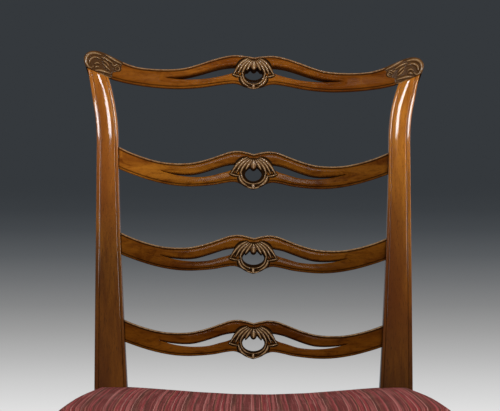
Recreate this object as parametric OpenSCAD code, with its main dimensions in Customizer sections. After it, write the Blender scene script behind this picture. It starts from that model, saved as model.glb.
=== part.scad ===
// Ladder-back side chair with four pierced serpentine rails and an over-upholstered saddle seat.
// The chair faces -Y, stands on Z = 0, and its origin is the middle of its footprint.

/* [Seat] */
// Width of the upholstered seat at its front
seat_w = 526; // [506:1:560]
// Depth of the upholstered seat in front of the rear posts
seat_d = 430; // [410:1:450]
// Height of the cover at the middle of its back
seat_h = 441; // [436:1:455]
// How much higher the cover is at its sides than along its middle
seat_dish = 12; // [6:1:16]
// How far the middle of the cover falls towards the front
seat_fall = 18; // [8:1:20]
// Radius of the padded edge
seat_edge_r = 16; // [12:1:18]
// Radius of the front corners seen from above
seat_corner_r = 14; // [10:1:20]
// Thickness of the cover fabric
cover_t = 1.3; // [1:0.1:1.6]
// Thickness of the linen undercover
undercover_t = 0.8; // [0.6:0.1:1]
// Thickness of the hessian over the webbing
hessian_t = 1; // [0.8:0.1:1.4]
// Thickness of the lining under the seat
lining_t = 0.6; // [0.5:0.1:1]

/* [Seat frame] */
// Height of the cover at the middle of its back above the seat rails
pad_rise = 40; // [38:1:44]
// Height of a seat rail
rail_h = 68; // [60:1:74]
// Thickness of a seat rail
rail_t = 25; // [23:1:26]
// Setback of the rear seat rail from the front of the posts
rear_rail_set = 10; // [8:1:12]
// Thickness of a tenon on a seat rail
rail_tenon_t = 10; // [8:0.5:10]
// Length of a tenon on a seat rail
rail_tenon_l = 24; // [20:1:25]
// Length of a corner block along each rail
block_l = 58; // [52:1:66]
// Height of a corner block
block_h = 34; // [28:1:44]

/* [Rear posts] */
// Width over both rear posts at the seat
back_w = 478; // [468:1:488]
// Width of a post at the seat
post_w = 49; // [47:1:51]
// Width of a post under the crest rail
post_top_w = 32.5; // [31:0.5:36]
// Width of a post at the floor
post_foot_w = 34; // [31:1:40]
// Depth of a post at the seat
post_d = 44; // [42:1:48]
// Depth of a post under the crest rail
post_top_d = 24; // [22:1:28]
// Depth of a post at the floor
post_foot_d = 34; // [32:1:38]
// How far the foot of a post runs back
splay = 84; // [82:1:90]
// Lean of the back at its top, along the straight part
lean = 55; // [45:1:60]
// Extra lean from the curve of the back
lean_curve = 25; // [15:1:30]
// How far the posts flare outward at the crest rail
flare = 16; // [10:1:20]
// Width of the bead along each front edge of a post
post_bead = 4; // [3:0.5:5]
// Crown of the field between the beads of a post
post_crown = 1.6; // [0.8:0.1:2.2]

/* [Back rails] */
// Height of the joint between the posts and the crest rail
crest_joint = 916; // [906:1:926]
// Heights of the low points of the three slats' top edges
upper_slat_z = 786; // [780:1:792]
middle_slat_z = 657; // [650:1:664]
lower_slat_z = 528; // [522:1:534]
// Thickness of a slat
slat_t = 15; // [13:1:17]
// Thickness of the crest rail
crest_t = 22; // [20:1:24]
// How far the middle of a rail bows back
slat_bow = 16; // [10:1:18]
// How far the rails fall towards the right-hand post, in degrees, as the old hand work does
rail_fall = 1.2; // [0:0.1:1.4]
// Setback of a slat from the front of the post
slat_set = 3; // [2:0.5:5]
// Length of a slat's tenon
slat_tenon_l = 18; // [15:1:22]
// Thickness of a slat's tenon
slat_tenon_t = 8; // [6:1:9]
// Radius of the round hole in the carving
eye_r = 12; // [10:0.5:12.5]
// Width of the carved ring below that hole
ring_w = 8; // [7:0.5:9.5]
// Height of the carved relief above the face of a rail
relief = 2; // [1.2:0.1:3]

/* [Legs and stretchers] */
// Side of a square front leg
leg = 45; // [42:1:46]
// Chamfer on the inner corner of a front leg
leg_chamfer = 11; // [7:1:14]
// Radius of the cove beside each bead of a front leg
leg_quirk = 1.4; // [1:0.1:1.8]
// Height of the underside of the side stretchers
side_stretcher_z = 92; // [84:1:100]
// Height of the underside of the rear stretcher
rear_stretcher_z = 150; // [142:1:156]
// Height of a stretcher
stretcher_h = 30; // [26:1:34]
// Thickness of a stretcher
stretcher_t = 15; // [13:1:17]
// Thickness of a stretcher's tenon
stretcher_tenon_t = 7; // [6:0.5:8]
// Place of the cross stretcher, as a share of the seat's depth
cross_place = 0.5; // [0.4:0.05:0.6]

/* [Upholstery] */
// Width of a webbing strip
web_w = 50; // [44:1:54]
// Thickness of a webbing strip
web_t = 1.2; // [1:0.1:1.4]
// Distance between webbing strips, centre to centre, across the seat
web_pitch_x = 112; // [104:1:118]
// Distance between webbing strips, centre to centre, along the seat
web_pitch_y = 104; // [98:1:110]
// Radius of a tack's head
tack_head_r = 2.6; // [2.2:0.1:3]
// Radius of a tack's shank
tack_r = 0.7; // [0.6:0.1:0.9]
// Length of a tack below its head
tack_l = 10; // [9:1:12]

/* [Fastenings] */
// Radius of a peg through a seat rail's tenon
peg_r = 3.2; // [2.8:0.1:3.6]
// Radius of a corner block screw
screw_r = 2.2; // [2:0.1:2.5]
// Length of a corner block screw
screw_l = 32; // [28:1:36]

/* [Fits] */
// Gap round a tenon, a peg, a screw or a tack
fit_gap = 0.2; // [0.1:0.05:0.25]
// Space left at the end of a tenon
end_gap = 1; // [0.5:0.1:1.5]
// Gap between soft layers
layer_gap = 0.3; // [0.2:0.05:0.4]

/* [Hidden] */
$fn = 48;

mahogany = "#8a4a1c";
beech = "#c9a271";
steel = "#8d8f92";
jute = "#a58a5c";
linen = "#d8cdb4";
crimson = "#7a2433";
black = "#2a2a2c";

big = 900;
sliver = 0.01;
rail_top = seat_h - pad_rise;
rail_low = rail_top - rail_h;
back_half = back_w / 2;
seat_half = seat_w / 2;
stack = cover_t + undercover_t + 2 * layer_gap;
lean_gap = 4;
lean_from = seat_h + lean_gap;
lean_rise = 520;
rear_end = splay + post_foot_d;
frame_shift = (seat_d - rear_end) / 2;

// ---- curves -------------------------------------------------------------------------------------

function mix(a, b, t) = a + (b - a) * t;
function clamp01(t) = min(1, max(0, t));

function spline_at(a, b, c, d, t) =
    0.5 * (2 * b + (c - a) * t + (2 * a - 5 * b + 4 * c - d) * t * t
        + (3 * b - a - 3 * c + d) * t * t * t);

// A smooth curve through a few points, with steps points to each span
function spline(p, steps) = concat(
    [for (i = [0:len(p) - 2], k = [0:steps - 1])
        spline_at(p[max(i - 1, 0)], p[i], p[i + 1], p[min(i + 2, len(p) - 1)], k / steps)],
    [p[len(p) - 1]]
);

function reversed(p) = [for (i = [len(p) - 1:-1:0]) p[i]];
function scaled(p, sx, sz) = [for (q = p) [q[0] * sx, q[1] * sz]];
function mirrored(p) = [for (q = p) [-q[0], q[1]]];

// A closed outline whose right half runs from the top middle round to the bottom middle
function both_halves(p) = concat(p, [for (i = [len(p) - 2:-1:1]) [-p[i][0], p[i][1]]]);

// ---- rear posts ---------------------------------------------------------------------------------

flare_rise = 96;
flare_from = crest_joint - flare_rise;
foot_curve = 1.4;
taper_curve = 1.3;
moulding_hidden = 16;
moulding_from = seat_h - moulding_hidden;
moulding_rise = 22;
arris = 0.8;
bead_drop = 3.2;
quirk_w = 1.2;
quirk_depth = 2.4;
back_round = 5;

function back_u(z) = max(0, z - lean_from) / lean_rise;
function post_front_true(z) = z < rail_low
    ? splay * pow((rail_low - z) / rail_low, foot_curve)
    : lean * back_u(z) + lean_curve * pow(back_u(z), 2);
function post_outer_true(z) = back_half
    + flare * pow(max(0, z - flare_from) / (crest_joint - flare_from), 2);
function post_width_true(z) = z < rail_low
    ? mix(post_foot_w, post_w, z / rail_low)
    : post_top_w + (post_w - post_top_w)
        * pow(1 - clamp01((z - lean_from) / (flare_from - lean_from)), taper_curve);
function post_depth_true(z) = z < rail_low
    ? mix(post_foot_d, post_d, z / rail_low)
    : post_top_d + (post_d - post_top_d)
        * pow(1 - clamp01((z - rail_top) / (crest_joint - rail_top)), 2);

// Heights of the sections that a post is drawn through; each joint lies between two of them
station_margin = 4;
post_spare = 12;
post_top = crest_joint + post_spare;
upper_stations = 18;
post_stations = concat(
    [0, side_stretcher_z / 2],
    [side_stretcher_z - station_margin, side_stretcher_z + stretcher_h + station_margin],
    [rear_stretcher_z - station_margin, rear_stretcher_z + stretcher_h + station_margin],
    [mix(rear_stretcher_z + stretcher_h, rail_low, 0.33), mix(rear_stretcher_z + stretcher_h, rail_low, 0.66)],
    [rail_low, rail_top, moulding_from, lean_from],
    [for (i = [1:upper_stations]) mix(lean_from, post_top, i / upper_stations)]
);
front_table = [for (z = post_stations) [z, post_front_true(z)]];
depth_table = [for (z = post_stations) [z, post_depth_true(z)]];
inner_table = [for (z = post_stations) [z, post_outer_true(z) - post_width_true(z)]];
function post_front(z) = lookup(z, front_table);
function post_depth(z) = lookup(z, depth_table);
function post_inner(z) = lookup(z, inner_table);

// Front of a post from its side to its middle: w wide, moulded by m from 0 to 1
function half_front(w, m) =
    let (bead = w / 2 - post_bead, shallow = 0.4 * quirk_depth)
    [
        [w / 2, arris + bead_drop * m],
        [w / 2 - arris, bead_drop / 3 * m],
        [bead + post_bead / 2, 0],
        [bead + quirk_w / 2, shallow * m],
        [bead, quirk_depth * m],
        [bead - quirk_w, shallow * m],
        [w / 4, mix(shallow, -post_crown, 0.6) * m]
    ];
// Section of a post, d deep, anticlockwise from above
function post_section(w, d, m) =
    let (turn = 0.3 * back_round, corner = [[w / 2, d - back_round], [w / 2 - turn, d - turn], [w / 2 - back_round, d]])
    concat(
        mirrored(half_front(w, m)),
        [[0, -post_crown * m]],
        reversed(half_front(w, m)),
        corner,
        reversed(mirrored(corner))
    );
function moulding(z) = clamp01((z - moulding_from) / moulding_rise);

// A closed solid through rings of equally many points, from one centre point to another
module loft(rings, start, end) {
    n = len(rings[0]);
    last = len(rings) - 1;
    first_centre = len(rings) * n;
    polyhedron(
        points = concat([for (r = rings, p = r) p], [start, end]),
        faces = concat(
            [for (i = [0:n - 1]) [first_centre, i, (i + 1) % n]],
            [for (r = [0:last - 1], i = [0:n - 1], half = [0, 1])
                let (a = r * n + i, b = r * n + (i + 1) % n)
                half == 0 ? [a, a + n, b] : [b, a + n, b + n]],
            [for (i = [0:n - 1]) [first_centre + 1, last * n + (i + 1) % n, last * n + i]]
        )
    );
}

function post_middle(z) = post_outer_true(z) - post_width_true(z) / 2;
function post_core(z) = [post_middle(z), post_front_true(z) + post_depth_true(z) / 2, z];
module post_blank() {
    loft(
        [for (z = post_stations)
            [for (p = post_section(post_width_true(z), post_depth_true(z), moulding(z)))
                [post_middle(z) + p[0], post_front_true(z) + p[1], z]]],
        post_core(0),
        post_core(post_top)
    );
}

// The frame that the crest rail is drawn in: its origin on the joint, its Z along the back
function slope_at(z) = atan((lean + 2 * lean_curve * back_u(z)) / lean_rise);
module leaned(z) {
    translate([0, post_front(z), z])
        rotate([-slope_at(z), 0, 0])
            children();
}

// The rails of the back fall to the right about their own middles
module askew(z, fall) {
    translate([0, 0, z])
        rotate([0, fall, 0])
            translate([0, 0, -z])
                children();
}

crest_tenon_w = 19;
crest_tenon_h = 20;
crest_tenon_root = 10;
crest_tenon_t = 9;
crest_tenon_x = post_outer_true(crest_joint) - post_top_w / 2;
crest_tenon_y = post_top_d / 2;
module crest_tenon(gap) {
    leaned(crest_joint)
        translate([crest_tenon_x - crest_tenon_w / 2, crest_tenon_y - crest_tenon_t / 2, -crest_tenon_root])
            translate([-gap, -gap, 0])
                cube([
                    crest_tenon_w + 2 * gap,
                    crest_tenon_t + 2 * gap,
                    crest_tenon_root + crest_tenon_h + (gap > 0 ? end_gap : 0)
                ]);
}

// ---- seat frame ---------------------------------------------------------------------------------

leg_out = side_at(-seat_d + stack + leg) - stack;
leg_front = -seat_d + stack;
leg_back = leg_front + leg;
rail_tenon_shoulder = 8;
rear_rail_y = rear_rail_set;

// Half width of the cover at y, and the inside and outside lines of a side rail
function side_at(y) = mix(back_half + stack, seat_half, -y / seat_d);
function side_out(y) = side_at(y) - stack;
function side_in(y) = side_out(y) - rail_t;

module side_rail_plan(inset, from, to) {
    polygon([
        [side_out(from) - inset, from], [side_out(to) - inset, to],
        [side_in(to) + inset, to], [side_in(from) + inset, from]
    ]);
}

module side_rail_tenons(gap) {
    inset = (rail_t - rail_tenon_t) / 2 - gap;
    reach = rail_tenon_l + (gap > 0 ? end_gap : 0);
    translate([0, 0, rail_low + rail_tenon_shoulder - gap])
        linear_extrude(rail_h - 2 * rail_tenon_shoulder + 2 * gap)
            side_rail_plan(inset, leg_back - reach, reach);
}

module cross_tenon(half, y, low, h, t, length, gap) {
    reach = half + length + (gap > 0 ? end_gap : 0);
    translate([0, y - t / 2 - gap, low - gap])
        cube([reach, t + 2 * gap, h + 2 * gap]);
}

module front_rail_tenons(gap) {
    cross_tenon(leg_out - leg, leg_front + rail_t / 2, rail_low + rail_tenon_shoulder,
        rail_h - 2 * rail_tenon_shoulder, rail_tenon_t, rail_tenon_l, gap);
}

module rear_rail_tenons(gap) {
    cross_tenon(back_half - post_w, rear_rail_y + rail_t / 2, rail_low + rail_tenon_shoulder,
        rail_h - 2 * rail_tenon_shoulder, rail_tenon_t, rail_tenon_l, gap);
}

// ---- pegs, screws and tacks ---------------------------------------------------------------------

peg_l = 32;
peg_z = rail_low + rail_h / 2;
peg_stagger = 14;

// One peg with its blind end at the origin and its head up; a bore runs on past the head
module peg(gap) {
    translate([0, 0, -gap])
        cylinder(r = peg_r + gap, h = peg_l + gap + (gap > 0 ? end_gap : 0));
}

// Right-hand pegs: side rail into post and leg, front rail into leg, rear rail into post
module pegs(gap) {
    for (p = [[back_half, rail_tenon_l / 2], [leg_out, leg_back - rail_tenon_l / 2]])
        translate([p[0] - peg_l, p[1], peg_z])
            rotate([0, 90, 0])
                peg(gap);
    translate([leg_out - leg + rail_tenon_l / 2, leg_front + peg_l, peg_z - peg_stagger])
        rotate([90, 0, 0])
            peg(gap);
    translate([back_half - post_w + rail_tenon_l / 2, post_depth(peg_z) - peg_l, peg_z + peg_stagger])
        rotate([-90, 0, 0])
            peg(gap);
}

block_drop = 10;
block_z = rail_top - block_h - block_drop;
screw_head_r = 2 * screw_r;
screw_head_h = 1.2 * screw_r;
screw_in_rail = 14;
screw_stagger = 7;
screw_z = block_z + block_h / 2;

// One wood screw along +X, its tip at the origin
module screw(gap, bore) {
    rotate([0, -90, 0]) {
        cylinder(r = screw_r + gap, h = screw_l);
        translate([0, 0, screw_l - screw_head_h])
            cylinder(r1 = screw_r + gap, r2 = screw_head_r + gap, h = screw_head_h);
        if (bore)
            translate([0, 0, screw_l])
                cylinder(r = screw_head_r + gap, h = block_l);
    }
}

// Right-hand screws: for each block one into the side rail and one into the front or rear rail
module block_screws(gap, bore) {
    away = 0.45 * block_l;
    for (y = [leg_back + 0.35 * block_l, -away])
        translate([side_in(y) + screw_in_rail, y, screw_z + screw_stagger])
            screw(gap, bore);
    translate([leg_out - leg - away, leg_front + rail_t - screw_in_rail, screw_z - screw_stagger])
        rotate([0, 0, -90])
            screw(gap, bore);
    translate([back_half - post_w - away, rear_rail_y + screw_in_rail, screw_z - screw_stagger])
        rotate([0, 0, 90])
            screw(gap, bore);
}

// One tack with its point down and its head resting on Z = 0
tack_head_t = 0.7;
module tack(gap) {
    translate([0, 0, -tack_l - (gap > 0 ? end_gap : 0)])
        cylinder(r = tack_r + gap, h = tack_l + (gap > 0 ? 2 * end_gap : sliver), $fn = 24);
    if (gap == 0)
        cylinder(r = tack_head_r, h = tack_head_t, $fn = 24);
}

module tacks_up(points, z, gap) {
    for (p = points)
        translate([p[0], p[1], z])
            tack(gap);
}

module tacks_down(points, z, gap) {
    for (p = points)
        translate([p[0], p[1], z])
            rotate([180, 0, 0])
                tack(gap);
}

// ---- webbing ------------------------------------------------------------------------------------

web_count = 3;
web_clear = 0.1;
web_over = web_t + web_clear;
web_ramp = 4;
web_inset = 5;
web_tack_inset = 9;
web_y_middle = (leg_front + rear_rail_y + rail_t) / 2;
web_half_l = (rear_rail_y + rail_t - leg_front) / 2 - web_inset;
tack_pitch = 14;
function web_x(i) = (i - 1) * web_pitch_x;
function web_y(j) = web_y_middle + (j - 1) * web_pitch_y;
function web_half_w(y) = side_out(y) - web_inset;
// Strip i passes over strip j where their numbers add up to an even number
function lengthwise_over(i, j) = (i + j) % 2 == 0;

// One strip along +X at its own rest height, lifted over its neighbours at the given places
module web_strip(half, places, lifted) {
    flat = web_w / 2 + web_ramp;
    path = concat(
        [[-half, 0]],
        [for (k = [0:len(places) - 1], s = [-1, 1]) [places[k] + s * flat, lifted[k] ? web_over : 0]],
        [[half, 0]]
    );
    rotate([90, 0, 0])
        linear_extrude(web_w, center = true)
            polygon(concat(path, [for (p = reversed(path)) [p[0], p[1] + web_t]]));
}

lengthwise_tacks = [for (i = [0:web_count - 1], s = [-1, 1], k = [-1:1])
    [web_x(i) + k * tack_pitch, web_y_middle + s * (web_half_l - web_tack_inset)]];
crosswise_tacks = [for (j = [0:web_count - 1], s = [-1, 1], k = [-1:1])
    [s * (web_half_w(web_y(j)) - web_tack_inset), web_y(j) + k * tack_pitch]];

// ---- soft layers --------------------------------------------------------------------------------

cover_back = rear_rail_y + rail_t + stack;
seat_mid_y = (cover_back - seat_d) / 2;
seat_half_d = (cover_back + seat_d) / 2;
side_steps = 7;
front_steps = 8;
corner_steps = 4;

// Outline of the cover, anticlockwise from the middle of its front
function arc(cx, cy, r, from, to) = [for (k = [0:corner_steps])
    [cx + r * cos(mix(from, to, k / corner_steps)), cy + r * sin(mix(from, to, k / corner_steps))]];
front_corner_x = side_at(-seat_d + seat_corner_r) - seat_corner_r;
seat_right = concat(
    [for (k = [0:front_steps / 2 - 1]) [front_corner_x * k / (front_steps / 2), -seat_d]],
    arc(front_corner_x, -seat_d + seat_corner_r, seat_corner_r, -90, 0),
    [for (k = [1:side_steps]) let (y = mix(-seat_d + seat_corner_r, cover_back, k / side_steps)) [side_at(y), y]],
    [for (k = [1:front_steps / 2 - 1]) [side_at(cover_back) * (1 - k / (front_steps / 2)), cover_back]]
);
seat_outline = concat(
    seat_right,
    [[0, cover_back]],
    [for (i = [len(seat_right) - 1:-1:1]) [-seat_right[i][0], seat_right[i][1]]]
);

function inset_point(p, o) = [
    p[0] * (seat_half - o) / seat_half,
    seat_mid_y + (p[1] - seat_mid_y) * (seat_half_d - o) / seat_half_d
];
// The cover falls faster towards its front, and less at its sides
fall_curve = 2.2;
side_hold = 0.7;
function crown_at(p) = seat_h + seat_dish * pow(p[0] / seat_half, 2)
    - seat_fall * pow(max(0, -p[1]) / seat_d, fall_curve) * (1 - side_hold * pow(p[0] / seat_half, 4));
function flat_ring(o, z) = [for (p = seat_outline) let (q = inset_point(p, o)) [q[0], q[1], z]];

// A ring on the rounded edge at an angle, or on the top at an inset, t below the cover's face
function edge_ring(t, angle) = [for (p = seat_outline)
    let (r = seat_edge_r - t, q = inset_point(p, seat_edge_r - r * cos(angle)))
    [q[0], q[1], crown_at(q) - seat_edge_r + r * sin(angle)]];
function top_ring(t, o) = [for (p = seat_outline)
    let (q = inset_point(p, o))
    [q[0], q[1], crown_at(q) - t]];
top_ring_count = 5;
centre_margin = 6;
top_insets = [for (k = [1:top_ring_count]) (seat_half_d - centre_margin) * k / top_ring_count];
function centre_at(z) = [0, seat_mid_y, z];
function top_centre(t) = centre_at(crown_at([0, seat_mid_y]) - t);
function upper_rings(t) = concat(
    [for (angle = [0:22.5:90]) edge_ring(t, angle)],
    [for (o = top_insets) top_ring(t, o)]
);

// Where the rear posts stand the soft layers are cut away
module without_posts(gap) {
    difference() {
        children();
        for (s = [0, 1])
            mirror([s, 0, 0])
                translate([back_half - post_w - gap, -gap, 0])
                    cube([big, big, crest_joint]);
    }
}

// Where the front legs pass down they are cut away as well
module without_legs(gap) {
    difference() {
        children();
        for (s = [0, 1])
            mirror([s, 0, 0])
                translate([leg_out - leg - gap, -big + leg_back + gap, 0])
                    cube([big, big, rail_low]);
    }
}

pad_low = rail_top + web_t + web_over + hessian_t;
undercover_hem = 14;
hem_w = 20;
cover_low = rail_low - cover_t;
lining_inset = 10;
hessian_inset = 6;
trim_gap = 1;

// Tack rows under the rails: inset from the cover's outline, so many across and along
hem_end = 6;
cover_tack_rows = [8, 8, 7];
lining_tack_rows = [17, 6, 5];
function row(from, to, count) = [for (k = [0:count - 1]) mix(from, to, (k + 0.5) / count)];
function hem_points(rows) =
    let (inset = rows[0], front = leg_out - leg - hem_end, back = back_half - post_w - hem_end)
    concat(
        [for (x = row(-front, front, rows[1])) [x, -seat_d + inset]],
        [for (x = row(-back, back, rows[1] - 2)) [x, cover_back - inset]],
        [for (s = [-1, 1], y = row(leg_back + hem_end, -hem_end, rows[2])) [s * (side_at(y) - inset), y]]
    );
cover_tack_points = hem_points(cover_tack_rows);
lining_tack_points = hem_points(lining_tack_rows);

// ---- stretchers ---------------------------------------------------------------------------------

stretcher_mid_z = side_stretcher_z + stretcher_h / 2;
stretcher_front_x = leg_out - leg / 2;
stretcher_rear_y = post_front(stretcher_mid_z);
stretcher_rear_x = post_inner(stretcher_mid_z) + (back_half - post_inner(stretcher_mid_z)) / 2;
function stretcher_x(y) = mix(stretcher_front_x, stretcher_rear_x, (y - leg_back) / (stretcher_rear_y - leg_back));
stretcher_tenon_l = 22;
stretcher_shoulder = 4;
cross_y = -seat_d * cross_place;
edge_round = 4;

module stretcher_plan(half_t, from, to) {
    polygon([
        [stretcher_x(from) + half_t, from], [stretcher_x(to) + half_t, to],
        [stretcher_x(to) - half_t, to], [stretcher_x(from) - half_t, from]
    ]);
}

module side_stretcher_tenons(gap) {
    reach = stretcher_tenon_l + (gap > 0 ? end_gap : 0);
    translate([0, 0, side_stretcher_z + stretcher_shoulder - gap])
        linear_extrude(stretcher_h - 2 * stretcher_shoulder + 2 * gap)
            stretcher_plan(stretcher_tenon_t / 2 + gap, leg_back - reach, stretcher_rear_y + reach);
}

cross_tenon_l = 0.8 * stretcher_t;
cross_trim = 0.1 * stretcher_t;
module cross_stretcher_tenons(gap) {
    cross_tenon(stretcher_x(cross_y) - stretcher_t / 2, cross_y, side_stretcher_z + stretcher_shoulder,
        stretcher_h - 2 * stretcher_shoulder, stretcher_tenon_t, cross_tenon_l, gap);
}

rear_stretcher_y = post_front(rear_stretcher_z + stretcher_h / 2) + post_foot_d / 2;
module rear_stretcher_tenons(gap) {
    cross_tenon(post_inner(rear_stretcher_z), rear_stretcher_y, rear_stretcher_z + stretcher_shoulder,
        stretcher_h - 2 * stretcher_shoulder, stretcher_tenon_t, stretcher_tenon_l, gap);
}

// Section of a stretcher with rounded upper edges, in the middle of X and standing on Y = 0
module stretcher_section() {
    translate([-stretcher_t / 2, 0])
        square([stretcher_t, stretcher_h - edge_round]);
    translate([edge_round - stretcher_t / 2, 0])
        square([stretcher_t - 2 * edge_round, stretcher_h]);
    for (s = [-1, 1])
        translate([s * (stretcher_t / 2 - edge_round), stretcher_h - edge_round])
            circle(r = edge_round);
}

// ---- pierced rails of the back ------------------------------------------------------------------

spline_steps = 4;
slot_steps = 3;
ear_overhang = 6;
slat_half = back_half;
crest_half = back_half + flare + ear_overhang;

// Half outlines as [share of the half width, height above the low point of the top edge]
slat_top = [
    [0, 16.8], [0.045, 19.6], [0.095, 21.4], [0.15, 20], [0.21, 15], [0.275, 9.2],
    [0.34, 4.4], [0.41, 0.9], [0.49, 0], [0.57, 1], [0.65, 4.7], [0.73, 10.2], [0.81, 17.4], [0.89, 26.5]
];
slat_bottom = [
    [0.89, -7.6], [0.81, -15], [0.73, -21.6], [0.65, -27.2], [0.57, -31.4], [0.49, -34], [0.41, -34.7],
    [0.33, -33.6], [0.25, -31.4], [0.19, -28.4], [0.14, -26.4], [0.11, -26.6], [0.08, -29.2], [0.045, -34], [0, -37.5]
];
slat_slot = [
    [0.592, -11.8], [0.52, -14.2], [0.455, -15.4], [0.39, -14.8], [0.33, -11.6], [0.25, -5.2], [0.195, -0.6],
    [0.15, 1.8], [0.11, 2.8], [0.097, 1.2], [0.11, -2.6], [0.135, -7], [0.165, -10.6], [0.21, -13.6],
    [0.28, -18.4], [0.35, -20.2], [0.42, -20], [0.5, -17.6]
];
slat_eye_z = -13.7;

// Half outlines as [share of the half width, height above the joint with the posts]
crest_top = [
    [0, 37.4], [0.045, 39.2], [0.1, 40.5], [0.15, 39.3], [0.21, 35.3], [0.27, 30.2], [0.34, 23.6],
    [0.41, 18.3], [0.48, 16], [0.56, 15.5], [0.64, 16.4], [0.7, 18.8], [0.76, 23.8], [0.82, 31],
    [0.875, 37.6], [0.925, 41.2], [0.965, 40.4], [0.99, 35.5], [1, 28], [0.985, 14], [0.966, 0]
];
crest_bottom = [
    [0.852, 0], [0.82, -2.8], [0.75, -7], [0.68, -9.8], [0.61, -11.9], [0.54, -13.2], [0.46, -13.8],
    [0.38, -12.8], [0.3, -10.5], [0.23, -7.2], [0.17, -4.6], [0.12, -3.2], [0.085, -4.6], [0.05, -8.2], [0, -11.4]
];
crest_slot = [
    [0.52, 2.7], [0.46, 4.6], [0.4, 7], [0.33, 11.8], [0.26, 17.6], [0.2, 22.2], [0.15, 24.6], [0.105, 25.2],
    [0.087, 22.8], [0.096, 17.6], [0.12, 13], [0.165, 9], [0.22, 5.4], [0.28, 2.6], [0.35, 0.8], [0.43, 0.6]
];
crest_eye_z = 9.4;

function closed_spline(p, steps) =
    let (n = len(p))
    [for (i = [0:n - 1], k = [0:steps - 1])
        spline_at(p[(i + n - 1) % n], p[i], p[(i + 1) % n], p[(i + 2) % n], k / steps)];

module rail_outline(top, bottom, half) {
    polygon(both_halves(scaled(concat(spline(top, spline_steps), spline(bottom, spline_steps)), half, 1)));
}

module slot_pair(slot, half) {
    for (s = [-1, 1])
        polygon(scaled(closed_spline(slot, slot_steps), s * half, 1));
}

// One petal of the carving, its root at the origin and its tip along +X
petal_steps = 16;
module petal(length, width) {
    polygon([for (k = [0:petal_steps - 1])
        let (a = 360 * k / petal_steps)
        [length * (0.5 - 0.5 * cos(a)), width / 2 * sin(a)]]);
}

// The fan opens downward over the round hole, whose middle is at height z
fan_petals = 7;
fan_spread = 62;
fan_root = 24;
fan_long = 42;
fan_short = 18.5;
fan_petal_w = 8;
module fan(z) {
    for (k = [0:fan_petals - 1]) {
        turn = mix(-fan_spread, fan_spread, k / (fan_petals - 1));
        translate([0, z + fan_root])
            rotate(turn - 90)
                petal(mix(fan_short, fan_long, abs(turn) / fan_spread), fan_petal_w);
    }
}

// The fan and the half ring under the hole
module fan_and_ring(z) {
    fan(z);
    intersection() {
        translate([0, z])
            circle(r = eye_r + ring_w - relief);
        translate([-big / 2, z - big / 2])
            square([big, big / 2]);
    }
}

// Leaves that spread over an ear of the crest rail from its outer side
ear_root = [0.975, 8];
ear_turns = [98, 120, 142, 164, 186];
ear_lengths = [31, 38, 46, 50, 34];
ear_leaf_w = 9;
module ear_leaves() {
    for (s = [0, 1], k = [0:len(ear_turns) - 1])
        mirror([s, 0, 0])
            translate([ear_root[0] * crest_half, ear_root[1]])
                rotate(ear_turns[k])
                    petal(ear_lengths[k], ear_leaf_w);
}

// A slab that is bowed back by slat_bow over the half span, from front to t behind that
function bow_radius(half) = (half * half + slat_bow * slat_bow) / (2 * slat_bow);
module bowed_slab(half, front, t) {
    r = bow_radius(half);
    translate([0, slat_bow - r, -big / 4])
        difference() {
            cylinder(r = r + front + t, h = big / 2, $fn = 180);
            translate([0, 0, -1])
                cylinder(r = r + front, h = big / 2 + 2, $fn = 180);
        }
}

// An outline as the front shows it, cut level from front to back
module sawn(z) {
    translate([0, 0, z])
        rotate([90, 0, 0])
            linear_extrude(big, center = true)
                children();
}

// A pierced and carved rail, t thick and set back from the posts: its outlines, its hole and its spans
module pierced_rail(z, set, t, top, bottom, slot, eye, half, span) {
    difference() {
        union() {
            intersection() {
                sawn(z) {
                    rail_outline(top, bottom, half);
                    translate([0, eye])
                        circle(r = eye_r + ring_w);
                }
                leaned(z)
                    bowed_slab(span, set, t);
            }
            intersection() {
                sawn(z)
                    children();
                leaned(z)
                    bowed_slab(span, set - relief, t / 2);
            }
        }
        // The slots and the hole are cut square to the face
        leaned(z)
            translate([0, 0, (set + slat_bow) * sin(slope_at(z))])
                rotate([90, 0, 0])
                    linear_extrude(big / 3, center = true) {
                        slot_pair(slot, half);
                        difference() {
                            translate([0, eye])
                                circle(r = eye_r);
                            fan(eye);
                        }
                    }
    }
}

slat_tenon_root = 4;
slat_tenon_low = -9;
slat_tenon_h = 26;
module slat_tenons(z, gap) {
    leaned(z)
        translate([0, slat_set + slat_t / 2 - slat_tenon_t / 2 - gap, slat_tenon_low - gap])
            cube([
                post_inner(z) + slat_tenon_l + (gap > 0 ? end_gap : 0),
                slat_tenon_t + 2 * gap,
                slat_tenon_h + 2 * gap
            ]);
}

// Space between the posts
between_stations = [for (z = post_stations) if (z >= lean_from && z < crest_joint) [post_inner(z), z]];
module between_posts() {
    rotate([90, 0, 0])
        linear_extrude(big, center = true)
            polygon(concat(between_stations, reversed(mirrored(between_stations))));
}

module slat(z) {
    half = post_inner(z);
    color(mahogany)
        intersection() {
            askew(z, rail_fall)
                pierced_rail(z, slat_set, slat_t, slat_top, slat_bottom, slat_slot, slat_eye_z, slat_half, half)
                    fan_and_ring(slat_eye_z);
            between_posts();
        }
    color(mahogany)
        askew(z, rail_fall)
            both_sides()
                difference() {
                    slat_tenons(z, 0);
                    translate([-1, -big / 2, 0])
                        cube([half - slat_tenon_root, big, big * 2]);
                }
}

// ---- nodes --------------------------------------------------------------------------------------

module placed() {
    translate([0, frame_shift, 0])
        children();
}

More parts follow.
